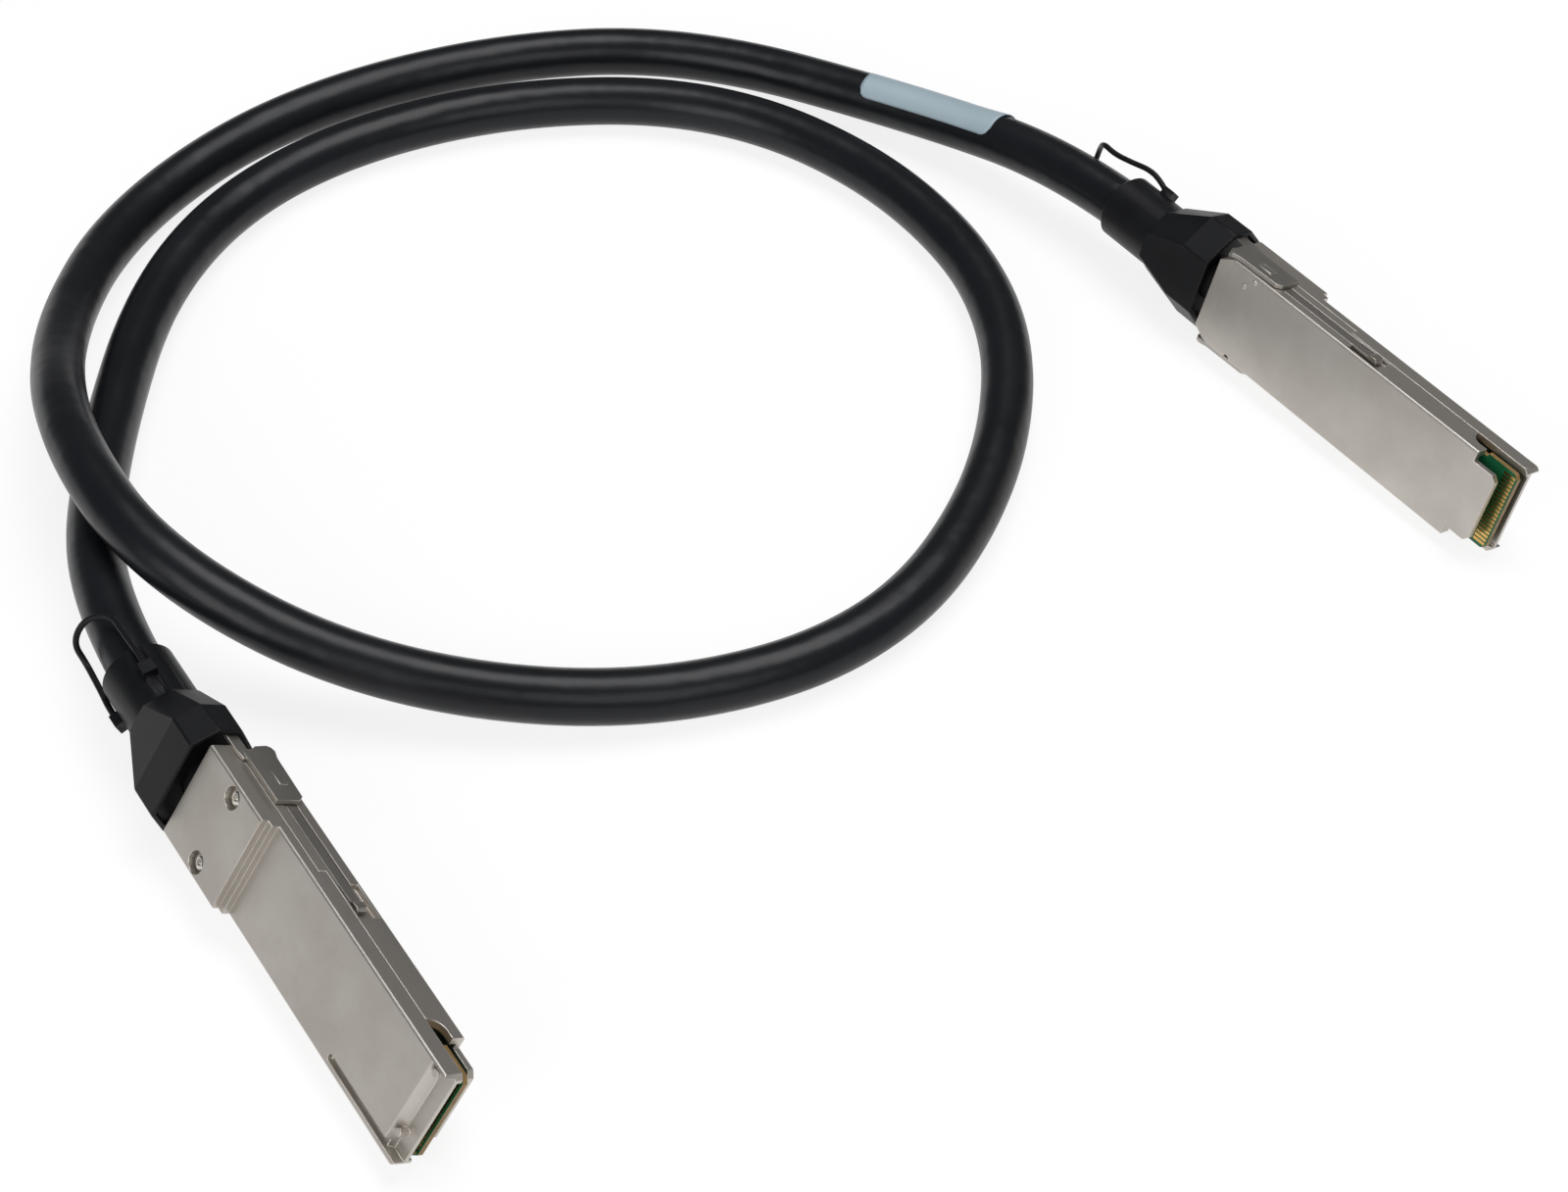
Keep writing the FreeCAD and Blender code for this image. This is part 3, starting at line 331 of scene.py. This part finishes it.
# %% [markdown]
# ## Softening the edges of the solid parts
# No cast, bent or moulded edge is a perfect knife edge: it has a small radius that
# catches the light as a thin bright line. Each visible part of a plug is copied, its
# loose triangles are joined into flat faces again, and the edges that turn sharply get
# a weight. A Bevel modifier rounds those edges and leaves the others, and a Weighted
# Normal modifier keeps the large faces flat beside them. The radius says how the part
# is made: small on metal, larger on the moulded sleeve.

# %% Dressed copies
MERGE_DISTANCE = 0.002 * MM
FLAT_ANGLE = math.radians(0.5)
METAL_EDGE_ANGLE, SLEEVE_EDGE_ANGLE = 28, 24  # degrees
SHELL_EDGE, SLIDER_EDGE, SLEEVE_EDGE = 0.10, 0.08, 0.25  # radii, in millimetres
SLEEVE_SHORTEST_EDGE = 3.0  # shorter edges of the sleeve stay sharp, in millimetres


def edge_is_round(edge, angle, shortest):
    """True for an edge that turns sharply, is long enough and has room on both sides."""
    if len(edge.link_faces) != 2 or edge.calc_length() < shortest:
        return False
    roomy = all(face.calc_area() > shortest ** 2 for face in edge.link_faces)
    return roomy and edge.calc_face_angle() > math.radians(angle)


def dressed_copy(node_name, piece_name, body, radius,
                 segments=2, angle=METAL_EDGE_ANGLE, shortest=0.0):
    """A copy of a solid part with rounded edges, which takes the part's place."""
    bm = bmesh.new()
    bm.from_mesh(nodes[node_name].data)
    bmesh.ops.remove_doubles(bm, verts=bm.verts, dist=MERGE_DISTANCE)
    bmesh.ops.dissolve_limit(
        bm, angle_limit=FLAT_ANGLE, verts=bm.verts, edges=bm.edges, delimit={"NORMAL"})
    weight = bm.edges.layers.float.new("bevel_weight_edge")
    for edge in bm.edges:
        edge[weight] = 1.0 if edge_is_round(edge, angle, shortest * MM) else 0.0
    piece = new_piece(piece_name, bm)
    shade_smooth(piece, angle)
    rounding = piece.modifiers.new("soft_edges", "BEVEL")
    rounding.width = radius * MM
    rounding.segments = segments
    rounding.limit_method = "WEIGHT"
    rounding.use_clamp_overlap = False
    rounding.loop_slide = False
    flats = piece.modifiers.new("flat_faces", "WEIGHTED_NORMAL")
    flats.keep_sharp = True
    give_material(piece, FINISHES[SLOTS[node_name]])
    stand_in(piece, node_name, body)
    return piece


for letter in "ab":
    latch = "latch_" + letter
    for half in ("top_shell_", "bottom_shell_"):
        dressed_copy(half + letter, half + "cast_" + letter, "plugs_and_cable", SHELL_EDGE)
    dressed_copy("latch_slider_" + letter, "latch_slider_bent_" + letter, latch, SLIDER_EDGE)
    dressed_copy("release_sleeve_" + letter, "release_sleeve_moulded_" + letter, latch,
                 SLEEVE_EDGE, segments=3, angle=SLEEVE_EDGE_ANGLE,
                 shortest=SLEEVE_SHORTEST_EDGE)


# %% [markdown]
# ## Small pressed pads on the slider's ears
# Each ear carries a small raised pad, pressed out of the sheet, which stiffens it. A
# cube is stretched to the pad's size and sunk a little into the ear, and its edges are
# bevelled so that it looks pressed and not glued on.

# %% Ear pads
PAD_MIDDLE = (-64.6, 10.075, -5.5)
PAD_SIZE = (3.3, 0.42, 1.7)
PAD_ROUNDING = 0.2
for letter in "ab":
    pads = bmesh.new()
    for side in (1, -1):
        cube = bmesh.ops.create_cube(pads, size=1.0)["verts"]
        bmesh.ops.scale(pads, vec=PAD_SIZE, verts=cube)
        x, y, z = PAD_MIDDLE
        bmesh.ops.translate(pads, vec=(x, side * y, z), verts=cube)
    bmesh.ops.bevel(pads, geom=list(pads.edges), offset=PAD_ROUNDING, offset_type="OFFSET",
                    affect="EDGES", segments=3, profile=0.5, material=-1)
    pad_piece = new_piece("ear_pads_" + letter, pads, PLUGS[letter])
    shade_smooth(pad_piece)
    give_material(pad_piece, FINISHES["slider_steel"])
    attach(pad_piece, "latch_" + letter)
print("faces of one plug's ear pads:", len(pad_piece.data.polygons))


# %% [markdown]
# ## A black plate of painted shade in the sleeve's cup
# The sleeve is moulded around the slider's bridge, and inside the cup the bridge lies in
# shade. A thin black plate over it paints that shade as the sleeve's plastic: the outline
# of the cup and a round hole for the strain relief are two edge loops, bridged, then given
# a thickness.

# %% Cup floors: black plates that paint the shade inside the cups
CUP_FLOOR_X = REAR_X - 2.9
CUP_THICK = 0.35
CUP_HOLE_RADIUS = 4.4
CUP_HOLE_SEGMENTS = 32
CUP_HALF_OUTLINE = [(6.4, 4.3), (9.6, 0.6), (9.6, -4.0), (4.6, -9.1)]  # y, z


def cup_painted_shade_bmesh():
    """A black plate of painted shade across the cup, with a round hole for the strain relief.
    """
    bm = bmesh.new()
    corners = CUP_HALF_OUTLINE + [(-y, z) for y, z in reversed(CUP_HALF_OUTLINE)]
    outer = [bm.verts.new((CUP_FLOOR_X, y, z)) for y, z in corners]
    rim = [bm.edges.new((outer[i - 1], outer[i])) for i in range(len(outer))]
    bmesh.ops.subdivide_edges(bm, edges=rim, cuts=3)
    rim = list(bm.edges)
    hole = bmesh.ops.create_circle(
        bm, cap_ends=False, segments=CUP_HOLE_SEGMENTS, radius=CUP_HOLE_RADIUS)["verts"]
    bmesh.ops.rotate(bm, matrix=Matrix.Rotation(math.radians(90), 3, "Y"), verts=hole)
    bmesh.ops.translate(bm, vec=(CUP_FLOOR_X, 0, CABLE_AXIS_Z), verts=hole)
    hole_edges = [edge for edge in bm.edges if edge not in rim]
    bmesh.ops.bridge_loops(bm, edges=rim + hole_edges)
    made = bmesh.ops.extrude_face_region(bm, geom=list(bm.faces))["geom"]
    moved = [item for item in made if isinstance(item, bmesh.types.BMVert)]
    bmesh.ops.translate(bm, vec=(-CUP_THICK, 0, 0), verts=moved)
    bmesh.ops.recalc_face_normals(bm, faces=bm.faces)
    return bm


# The black plate paints the shade that falls on the metal bridge inside the cup.
for letter in "ab":
    painted_shade_plate = new_piece("sleeve_cup_painted_shade_" + letter, cup_painted_shade_bmesh(), PLUGS[letter])
    give_material(painted_shade_plate, FINISHES["sleeve_plastic"])
    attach(painted_shade_plate, "latch_" + letter)
print("faces of one cup floor:", len(painted_shade_plate.data.polygons))


# %% [markdown]
# ## The card inside the nose
# The card is a thin laminate with green mask on both faces. Its cut edges show the bare
# brown laminate. A copy of the card keeps its shape and gives each face one of the two
# finishes, by whether the face looks along the plug's own up direction or not.

# %% Card with bare edges
CARD_EDGE = 0.04
FACE_LIMIT = 0.9  # a face of the card looks at least this much along the plug's z

for letter in "ab":
    name = "paddle_card_" + letter
    card = dressed_copy(
        name, "paddle_card_laminate_" + letter, "plugs_and_cable", CARD_EDGE, segments=1)
    give_material(card, FINISHES["card_green"], LAMINATE)
    card_up = PLUGS[letter].to_3x3().col[2].normalized()
    for face in card.data.polygons:
        face.material_index = 0 if abs(face.normal.dot(card_up)) > FACE_LIMIT else 1
print("bare faces of one card:", sum(face.material_index for face in card.data.polygons))


# %% [markdown]
# ## Screws
# Two small screws hold each plug's halves together. A turned shape is easiest as rings:
# start with the six-lobed edge of the driver recess, extrude it outwards ring by ring
# over the low dome of the head, and down the shank, then extrude the same edge down
# into the recess and close both ends.

# %% Screws with a six-lobed recess
SCREW_X, SCREW_Y, SCREW_TOP = REAR_X + 9.9, 6.75, 1.8
RECESS_LOBES = 6
RECESS_STEPS = (0.66, 0.60, 0.50, 0.60)  # radii from one lobe to the next
RECESS_DEPTH = 0.55
HEAD_RINGS = [  # radius and height, from the recess over the head to the shank's end
    (0.95, 0.0), (1.22, -0.10), (1.40, -0.28), (1.5, -0.55), (1.5, -0.9), (0.8, -0.9),
    (0.8, -6.6), (0.55, -6.9)]


def join_bmesh(target, source):
    """Add one bmesh to another, by way of a mesh, and free it."""
    helper = bpy.data.meshes.new("helper")
    source.to_mesh(helper)
    source.free()
    target.from_mesh(helper)
    bpy.data.meshes.remove(helper)


def screw_bmesh():
    """One screw that points up, with the top of its head at height 0."""
    bm = bmesh.new()
    sides = RECESS_LOBES * len(RECESS_STEPS)
    ring = bmesh.ops.create_circle(bm, cap_ends=False, segments=sides, radius=1.0)["verts"]
    for i, vert in enumerate(ring):
        vert.co *= RECESS_STEPS[i % len(RECESS_STEPS)]
    first = list(bm.edges)
    edges = first
    for radius, height in HEAD_RINGS:
        made = bmesh.ops.extrude_edge_only(bm, edges=edges)["geom"]
        edges = [item for item in made if isinstance(item, bmesh.types.BMEdge)]
        for vert in {vert for edge in edges for vert in edge.verts}:
            flat = Vector((vert.co.x, vert.co.y)).normalized() * radius
            vert.co = (flat.x, flat.y, height)
    bmesh.ops.holes_fill(bm, edges=edges, sides=sides)
    made = bmesh.ops.extrude_edge_only(bm, edges=first)["geom"]
    floor_edges = [item for item in made if isinstance(item, bmesh.types.BMEdge)]
    floor_verts = list({vert for edge in floor_edges for vert in edge.verts})
    bmesh.ops.translate(bm, vec=(0, 0, -RECESS_DEPTH), verts=floor_verts)
    bmesh.ops.holes_fill(bm, edges=floor_edges, sides=sides)
    bmesh.ops.recalc_face_normals(bm, faces=bm.faces)
    return bm


for letter in "ab":
    both = bmesh.new()
    for side in (1, -1):
        one = screw_bmesh()
        bmesh.ops.translate(one, vec=(SCREW_X, side * SCREW_Y, SCREW_TOP), verts=one.verts)
        join_bmesh(both, one)
    screws = new_piece("cover_screws_" + letter, both, PLUGS[letter])
    shade_smooth(screws)
    give_material(screws, FINISHES["screw_steel"])
    stand_in(screws, "shell_screws_" + letter, "plugs_and_cable")
print("screws per plug: 2, rings:", len(HEAD_RINGS))


# %% [markdown]
# ## Return springs
# A compression spring is a round wire on a helix. The spin operator makes one when each
# step also moves a little along the axis. The rear end rests on the shell and the front
# end is pushed by the slider.

# %% Helical springs
SPRING_REAR_X = REAR_X + 15.9
SPRING_LENGTH = 9.5
SPRING_RADIUS, WIRE_RADIUS = 1.1, 0.16
SPRING_Y = 6.65
SPRING_TURNS = 8
STEPS_PER_TURN = 20
WIRE_SIDES = 8


def spring_bmesh(y, z):
    """One spring along x, whose axis lies at this y and z."""
    bm = bmesh.new()
    wire_line = SPRING_RADIUS - WIRE_RADIUS
    profile = bmesh.ops.create_circle(
        bm, cap_ends=False, segments=WIRE_SIDES, radius=WIRE_RADIUS)["verts"]
    bmesh.ops.rotate(bm, matrix=Matrix.Rotation(math.radians(90), 3, "X"), verts=profile)
    bmesh.ops.translate(bm, vec=(SPRING_REAR_X + WIRE_RADIUS, y, z + wire_line), verts=profile)
    steps = SPRING_TURNS * STEPS_PER_TURN
    rise = (SPRING_LENGTH - 2 * WIRE_RADIUS) / steps
    bmesh.ops.spin(bm, geom=list(bm.verts) + list(bm.edges), cent=(SPRING_REAR_X, y, z),
                   axis=(1, 0, 0), dvec=(rise, 0, 0), angle=math.tau * SPRING_TURNS,
                   steps=steps, use_merge=False)
    rims = [edge for edge in bm.edges if edge.is_boundary]
    bmesh.ops.holes_fill(bm, edges=rims, sides=WIRE_SIDES)
    bmesh.ops.recalc_face_normals(bm, faces=bm.faces)
    return bm


def spring_height(letter):
    """The springs' height in the plug, read from the solid springs."""
    back = PLUGS[letter].inverted()
    heights = [(back @ vert.co).z for vert in nodes["return_springs_" + letter].data.vertices]
    return (min(heights) + max(heights)) / 2


for letter in "ab":
    height = spring_height(letter)
    pair = spring_bmesh(SPRING_Y, height)
    join_bmesh(pair, spring_bmesh(-SPRING_Y, height))
    springs = new_piece("coiled_springs_" + letter, pair, PLUGS[letter])
    springs.data.shade_smooth()
    give_material(springs, FINISHES["spring_steel"])
    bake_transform(springs)
    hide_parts("return_springs_" + letter)
print("spring height in the plug:", round(height, 2), "mm")


# %% [markdown]
# ## The pull loop
# The loop is a thin moulded cord that grows out of two small lugs, runs back on both
# sides and passes over the cable. Each one has taken its own set in use, so its strands
# are drawn with their own few points, in plug millimetres, and a smooth spline joins
# them. The far strand mirrors the near one. A strand's point is a place along the plug
# and a distance from the cable's axis; the crown's is a place and a height.

# %% Points of the pull loops
STRANDS = {
    "a": [(-97.55, 7.1), (-100.2, 7.1), (-103.6, 6.75), (-107.5, 6.5), (-110.8, 6.3)],
    "b": [(-97.55, 7.1), (-99.6, 7.9), (-103.2, 8.4), (-107.5, 7.4), (-112.0, 6.6),
          (-115.5, 6.9)],
}
CROWN = {"a": (-113.0, 3.4), "b": (-118.3, 3.95)}
CROWN_HALF_WIDTH = 2.6
LUG_ANGLE = math.radians(35)  # of the lugs, above the plug's y


def loop_points(letter):
    """Control points of one loop, from lug to lug, in the scene."""
    near = []
    for x, reach in STRANDS[letter]:
        y = reach * math.cos(LUG_ANGLE)
        near.append((x, y, CABLE_AXIS_Z + reach * math.sin(LUG_ANGLE)))
    crown_x, crown_z = CROWN[letter]
    far = [(x, -y, z) for x, y, z in reversed(near)]
    crown = [(crown_x, CROWN_HALF_WIDTH, crown_z), (crown_x, -CROWN_HALF_WIDTH, crown_z)]
    return [PLUGS[letter] @ Vector(point) for point in near + crown + far]


# %% [markdown]
# ## The cable's jacket
# Under the thin jacket lie eight stiff pairs, so the surface is not quite round: long
# soft ridges wander along it and break up the highlight. A low, wide noise drives a
# bump for those ridges, and a fine one gives the plastic its skin.

# %% Jacket finish
JACKET_DARK = (0.0060, 0.0066, 0.0085)
JACKET_PALE = (0.0110, 0.0122, 0.0150)
JACKET_SPECULAR = 0.27


def jacket_material():
    """Black jacket with long soft ridges and a fine skin."""
    material, tree, shader = new_material("cable_jacket_skin")
    link = tree.links.new
    shade = object_texture(tree, "ShaderNodeTexNoise", Scale=55.0, Detail=3.0, Roughness=0.5)
    tint = colour_mix(tree, JACKET_DARK, JACKET_PALE)
    link(shade.outputs["Fac"], tint.inputs["Factor"])
    link(tint.outputs[MIX_RESULT], shader.inputs["Base Color"])
    gloss = add_node(tree, "ShaderNodeMapRange", To_Min=0.26, To_Max=0.40)
    link(shade.outputs["Fac"], gloss.inputs["Value"])
    link(gloss.outputs["Result"], shader.inputs["Roughness"])
    ridges = object_texture(tree, "ShaderNodeTexNoise", Scale=95.0, Detail=2.0, Roughness=0.45)
    low = add_node(tree, "ShaderNodeBump", Strength=0.7, Distance=0.6 * MM)
    link(ridges.outputs["Fac"], low.inputs["Height"])
    skin = object_texture(tree, "ShaderNodeTexNoise", Scale=2200.0, Detail=2.0, Roughness=0.5)
    high = add_node(tree, "ShaderNodeBump", Strength=0.12, Distance=0.03 * MM)
    link(skin.outputs["Fac"], high.inputs["Height"])
    link(low.outputs["Normal"], high.inputs["Normal"])
    link(high.outputs["Normal"], shader.inputs["Normal"])
    shader.inputs["Specular IOR Level"].default_value = JACKET_SPECULAR
    return material


JACKET = jacket_material()
print("nodes of the jacket's finish:", len(JACKET.node_tree.nodes))


# %% [markdown]
# ## The cable's route
# A stiff cable never lies in straight pieces. A spline of order three runs smoothly
# past its control points and touches the middle of each leg, which is how such a cable
# looks when it is pushed into one and a bit loose turns on a table. The points are in
# metres, from the strain relief of plug a to that of plug b.

# %% The cable's spline
ROUTE = [
    (-0.10665, -0.03399, 0.01318),
    (-0.12207, -0.01025, 0.01408),
    (-0.12820, 0.03000, 0.00850),
    (-0.12650, 0.08700, 0.00490),
    (-0.10550, 0.12150, 0.00490),
    (-0.06550, 0.14150, 0.00490),
    (-0.02000, 0.14250, 0.00490),
    (0.01650, 0.11750, 0.00490),
    (0.03850, 0.07700, 0.00490),
    (0.03450, 0.02950, 0.00490),
    (0.01300, -0.01000, 0.00490),
    (-0.02700, -0.02600, 0.00490),
    (-0.07350, -0.02350, 0.00900),
    (-0.11040, -0.00920, 0.02120),
    (-0.13150, 0.02300, 0.02200),
    (-0.14150, 0.06350, 0.01000),
    (-0.13600, 0.10350, 0.00490),
    (-0.11050, 0.13650, 0.00490),
    (-0.06950, 0.15700, 0.00490),
    (-0.02550, 0.16100, 0.00490),
    (0.02400, 0.13600, 0.00650),
    (0.05261, 0.10920, 0.01321),
    (0.06703, 0.09003, 0.01246),
]
CABLE_DIAMETER = 9.8 * MM
SPLINE_ORDER = 3


def spline_curve(name, points, radius, resolution=16, roundness=7):
    """A round cord along a smooth spline; the last two set its steps along and around."""
    curve = bpy.data.curves.new(name, "CURVE")
    curve.dimensions = "3D"
    spline = curve.splines.new("NURBS")
    spline.points.add(len(points) - 1)
    for target, point in zip(spline.points, points):
        target.co = (*point, 1)
    spline.order_u = SPLINE_ORDER
    spline.use_endpoint_u = True
    spline.resolution_u = resolution
    curve.bevel_depth = radius
    curve.bevel_resolution = roundness
    curve.use_fill_caps = True
    piece = bpy.data.objects.new(name, curve)
    bpy.context.scene.collection.objects.link(piece)
    return piece


cable = spline_curve("cable_jacket_skin", ROUTE, CABLE_DIAMETER / 2)
give_material(cable, JACKET)
stand_in(cable, "cable_jacket", "plugs_and_cable")
print("control points of the cable:", len(ROUTE))


# %% The camera that sees it
CAMERA_PLACE = (-5.02 * MM, -354.01 * MM, 372.4 * MM)
CAMERA_TILT = math.radians(43.91)  # up from straight down
camera_data = bpy.data.cameras.new("view_camera")
camera_data.sensor_width = 36
camera_data.lens = 67.5
camera = bpy.data.objects.new("view_camera", camera_data)
camera.location = CAMERA_PLACE
camera.rotation_euler = (CAMERA_TILT, 0, 0)
bpy.context.scene.collection.objects.link(camera)
bpy.context.scene.camera = camera
print("the camera looks down by", round(90 - math.degrees(CAMERA_TILT), 1), "degrees")


# %% The pull loops' cords
LOOP_RADIUS = 0.55 * MM
for letter in "ab":
    points = loop_points(letter)
    loop = spline_curve(
        "pull_loop_moulded_" + letter, points, LOOP_RADIUS, resolution=8, roundness=3)
    give_material(loop, FINISHES["sleeve_plastic"])
    stand_in(loop, "pull_loop_" + letter, "latch_" + letter)
    print("control points of pull loop", letter + ":", len(points))


# %% [markdown]
# ## The label around the cable
# A bare film label is stuck around a bit more than half of the cable's girth. It has to
# follow the cable's own line, so the line is read back from the smooth spline. A flat
# grid is wrapped over it: one direction runs along the line, the other around it. The
# corners are rounded by drawing the two long edges in towards the ends, one corner has
# come a little loose, and a Solidify modifier gives the film its thickness. Angles go
# around the cable from its top, with the near edge on the inner side of the bend.

# %% The smooth spline's own points
def centreline(curve_object):
    """Points of the spline as Blender draws it without a bevel."""
    line_data = curve_object.data.copy()
    line_data.bevel_depth = 0
    line_data.use_fill_caps = False
    line = bpy.data.objects.new("centreline", line_data)
    bpy.context.scene.collection.objects.link(line)
    bpy.context.view_layer.update()
    mesh = bpy.data.meshes.new_from_object(line)
    points = [vert.co.copy() for vert in mesh.vertices]
    bpy.data.objects.remove(line)
    bpy.data.curves.remove(line_data)
    bpy.data.meshes.remove(mesh)
    return points


LINE = centreline(cable)
print("points on the cable's line:", len(LINE))


# %% Place along the line
def line_lengths(points):
    """The length of the line up to each of its points."""
    lengths = [0.0]
    for start, end in zip(points, points[1:]):
        lengths.append(lengths[-1] + (end - start).length)
    return lengths


LINE_LENGTHS = line_lengths(LINE)


def place_on_line(distance):
    """Point and direction of the cable's line at a length along it."""
    for i, end in enumerate(LINE_LENGTHS[1:]):
        if end >= distance:
            break
    start = LINE_LENGTHS[i]
    share = (distance - start) / (end - start)
    heading = (LINE[i + 1] - LINE[i]).normalized()
    before = after = heading
    if i > 0:
        before = (LINE[i] - LINE[i - 1]).normalized()
    if i + 2 < len(LINE):
        after = (LINE[i + 2] - LINE[i + 1]).normalized()
    direction = (before + heading).lerp(heading + after, share).normalized()
    return LINE[i].lerp(LINE[i + 1], share), direction


low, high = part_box("label_wrap")
label_centre = (Vector(low) + Vector(high)) / 2
nearest = min(range(len(LINE)), key=lambda i: (LINE[i] - label_centre).length)
LABEL_SHIFT = 2.6 * MM  # from the point of the line that is nearest to the solid label
LABEL_MIDDLE = LINE_LENGTHS[nearest] + LABEL_SHIFT
print("label is centred", round(LABEL_MIDDLE, 3), "m along the cable")


# %% Label film
LABEL_LENGTH = 33 * MM
LABEL_HALF = 0.5  # the grid runs from minus to plus a half, both ways
LABEL_NEAR_EDGE = math.radians(56)
LABEL_FAR_EDGE = math.radians(-160)
LABEL_CORNER = 2.2 * MM
LABEL_SEGMENTS = 48
LABEL_GAP = 0.06 * MM
LABEL_THICK = 0.22 * MM
LABEL_LIFT = 0.55 * MM
LABEL_LIFT_START = 0.72  # share of the length after which the corner comes loose
LABEL_PALE = (0.40, 0.49, 0.54)
LABEL_DARK = (0.35, 0.45, 0.51)


def label_bmesh():
    """The film wrapped over the cable's line."""
    bm = bmesh.new()
    bmesh.ops.create_grid(
        bm, x_segments=LABEL_SEGMENTS, y_segments=LABEL_SEGMENTS, size=LABEL_HALF)
    radius = CABLE_DIAMETER / 2 + LABEL_GAP
    for vert in bm.verts:
        along, across = vert.co.x + LABEL_HALF, vert.co.y + LABEL_HALF
        to_end = min(along, 1 - along) * LABEL_LENGTH
        inset = 0.0
        if to_end < LABEL_CORNER:
            inset = LABEL_CORNER - math.sqrt(LABEL_CORNER ** 2 - (LABEL_CORNER - to_end) ** 2)
        near = LABEL_NEAR_EDGE - inset / radius
        far = LABEL_FAR_EDGE + inset / radius
        angle = far + (near - far) * across
        point, heading = place_on_line(LABEL_MIDDLE + (along - LABEL_HALF) * LABEL_LENGTH)
        inward = heading.cross(Vector((0, 0, 1))).normalized()
        upward = inward.cross(heading).normalized()
        loose = max(0.0, (along - LABEL_LIFT_START) / (1 - LABEL_LIFT_START))
        reach = radius + LABEL_LIFT * loose ** 2 * (1 - across) ** 0.5
        vert.co = point + (upward * math.cos(angle) + inward * math.sin(angle)) * reach
    bmesh.ops.recalc_face_normals(bm, faces=bm.faces)
    return bm


def label_material():
    """Pale matt film with a faint fibre."""
    material, tree, shader = new_material("label_film_skin")
    link = tree.links.new
    fade = object_texture(tree, "ShaderNodeTexNoise", Scale=140.0, Detail=2.0, Roughness=0.5)
    tint = colour_mix(tree, LABEL_DARK, LABEL_PALE)
    link(fade.outputs["Fac"], tint.inputs["Factor"])
    link(tint.outputs[MIX_RESULT], shader.inputs["Base Color"])
    gloss = add_node(tree, "ShaderNodeMapRange", To_Min=0.36, To_Max=0.52)
    link(fade.outputs["Fac"], gloss.inputs["Value"])
    link(gloss.outputs["Result"], shader.inputs["Roughness"])
    fibre = object_texture(tree, "ShaderNodeTexNoise", Scale=3000.0, Detail=4.0, Roughness=0.6)
    relief = add_node(tree, "ShaderNodeBump", Strength=0.25, Distance=GRAIN_DEPTH)
    link(fibre.outputs["Fac"], relief.inputs["Height"])
    link(relief.outputs["Normal"], shader.inputs["Normal"])
    return material


label = new_piece("label_film", label_bmesh())
label.data.shade_smooth()
film = label.modifiers.new("film", "SOLIDIFY")
film.thickness = LABEL_THICK
film.offset = 1.0
give_material(label, label_material())
stand_in(label, "label_wrap", "plugs_and_cable")
print("faces of the label before its thickness:", len(label.data.polygons))


# %% [markdown]
# ## Floor, lights and background
# A plain pale floor that reads white to the camera and in reflections, and three soft
# lamps that leave colours about as they are written. Part of the floor's colour stays a
# real lit surface, so the cable still has a soft shadow under it.

# %% Floor
FLOOR_HALF_WIDTH = 6.0
FLOOR_DROP = 0.2 * MM  # just under the cable, so that the two never share a plane
FLOOR_COLOUR = (0.86, 0.86, 0.86, 1)
FLOOR_GLOW = 0.78  # share of the floor that is plain white where it is seen
FLOOR_WHITE = 1.07
FLOOR_ROUGHNESS = 0.8


def floor_material():
    """A lit pale surface that is mostly white to camera, glossy and glass rays."""
    material, tree, shader = new_material("pale_floor")
    link = tree.links.new
    shader.inputs["Base Color"].default_value = FLOOR_COLOUR
    shader.inputs["Roughness"].default_value = FLOOR_ROUGHNESS
    path = add_node(tree, "ShaderNodeLightPath")
    seen = add_node(tree, "ShaderNodeMath", operation="MAXIMUM")
    link(path.outputs["Is Camera Ray"], seen.inputs[0])
    link(path.outputs["Is Glossy Ray"], seen.inputs[1])
    seen_through = add_node(tree, "ShaderNodeMath", operation="MAXIMUM")
    link(seen.outputs[0], seen_through.inputs[0])
    link(path.outputs["Is Transmission Ray"], seen_through.inputs[1])
    share = add_node(tree, "ShaderNodeMath", operation="MULTIPLY")
    share.inputs[1].default_value = FLOOR_GLOW
    link(seen_through.outputs[0], share.inputs[0])
    white = add_node(tree, "ShaderNodeEmission", Color=(1, 1, 1, 1), Strength=FLOOR_WHITE)
    blend = add_node(tree, "ShaderNodeMixShader")
    link(share.outputs[0], blend.inputs[0])
    link(shader.outputs[0], blend.inputs[1])
    link(white.outputs[0], blend.inputs[2])
    link(blend.outputs[0], tree.nodes["Material Output"].inputs["Surface"])
    return material


floor_bm = bmesh.new()
bmesh.ops.create_grid(floor_bm, x_segments=1, y_segments=1, size=FLOOR_HALF_WIDTH)
bmesh.ops.translate(floor_bm, vec=(0, 0, -FLOOR_DROP), verts=floor_bm.verts)
floor = new_piece("studio_floor", floor_bm)
give_material(floor, floor_material())
print("the floor lies", FLOOR_DROP / MM, "mm under the cable")


# %% Lamps and background
def soft_lamp(name, place, size, power):
    """A large area lamp that points at the middle of the table."""
    data = bpy.data.lights.new(name, "AREA")
    data.shape = "RECTANGLE"
    data.size, data.size_y = size
    data.energy = power
    lamp = bpy.data.objects.new(name, data)
    lamp.location = place
    lamp.rotation_euler = (-Vector(place)).to_track_quat("-Z", "Y").to_euler()
    bpy.context.scene.collection.objects.link(lamp)


soft_lamp("key_softbox", (-0.8, -0.9, 0.65), (0.8, 0.8), 6.5)
soft_lamp("top_softbox", (0.2, 0.3, 1.2), (1.0, 0.7), 10.5)
soft_lamp("fill_softbox", (0.3, -1.1, 0.9), (0.8, 0.8), 4.0)

SKY_COLOUR = (0.98, 0.99, 1.0, 1)
SKY_STRENGTH = 0.10
world = bpy.data.worlds.new("studio_world")
bpy.context.scene.world = world
world.use_nodes = True
backdrop = world.node_tree.nodes["Background"]
backdrop.inputs["Color"].default_value = SKY_COLOUR
backdrop.inputs["Strength"].default_value = SKY_STRENGTH
bpy.context.scene.view_settings.view_transform = "Standard"
print("lamps:", len(bpy.data.lights))
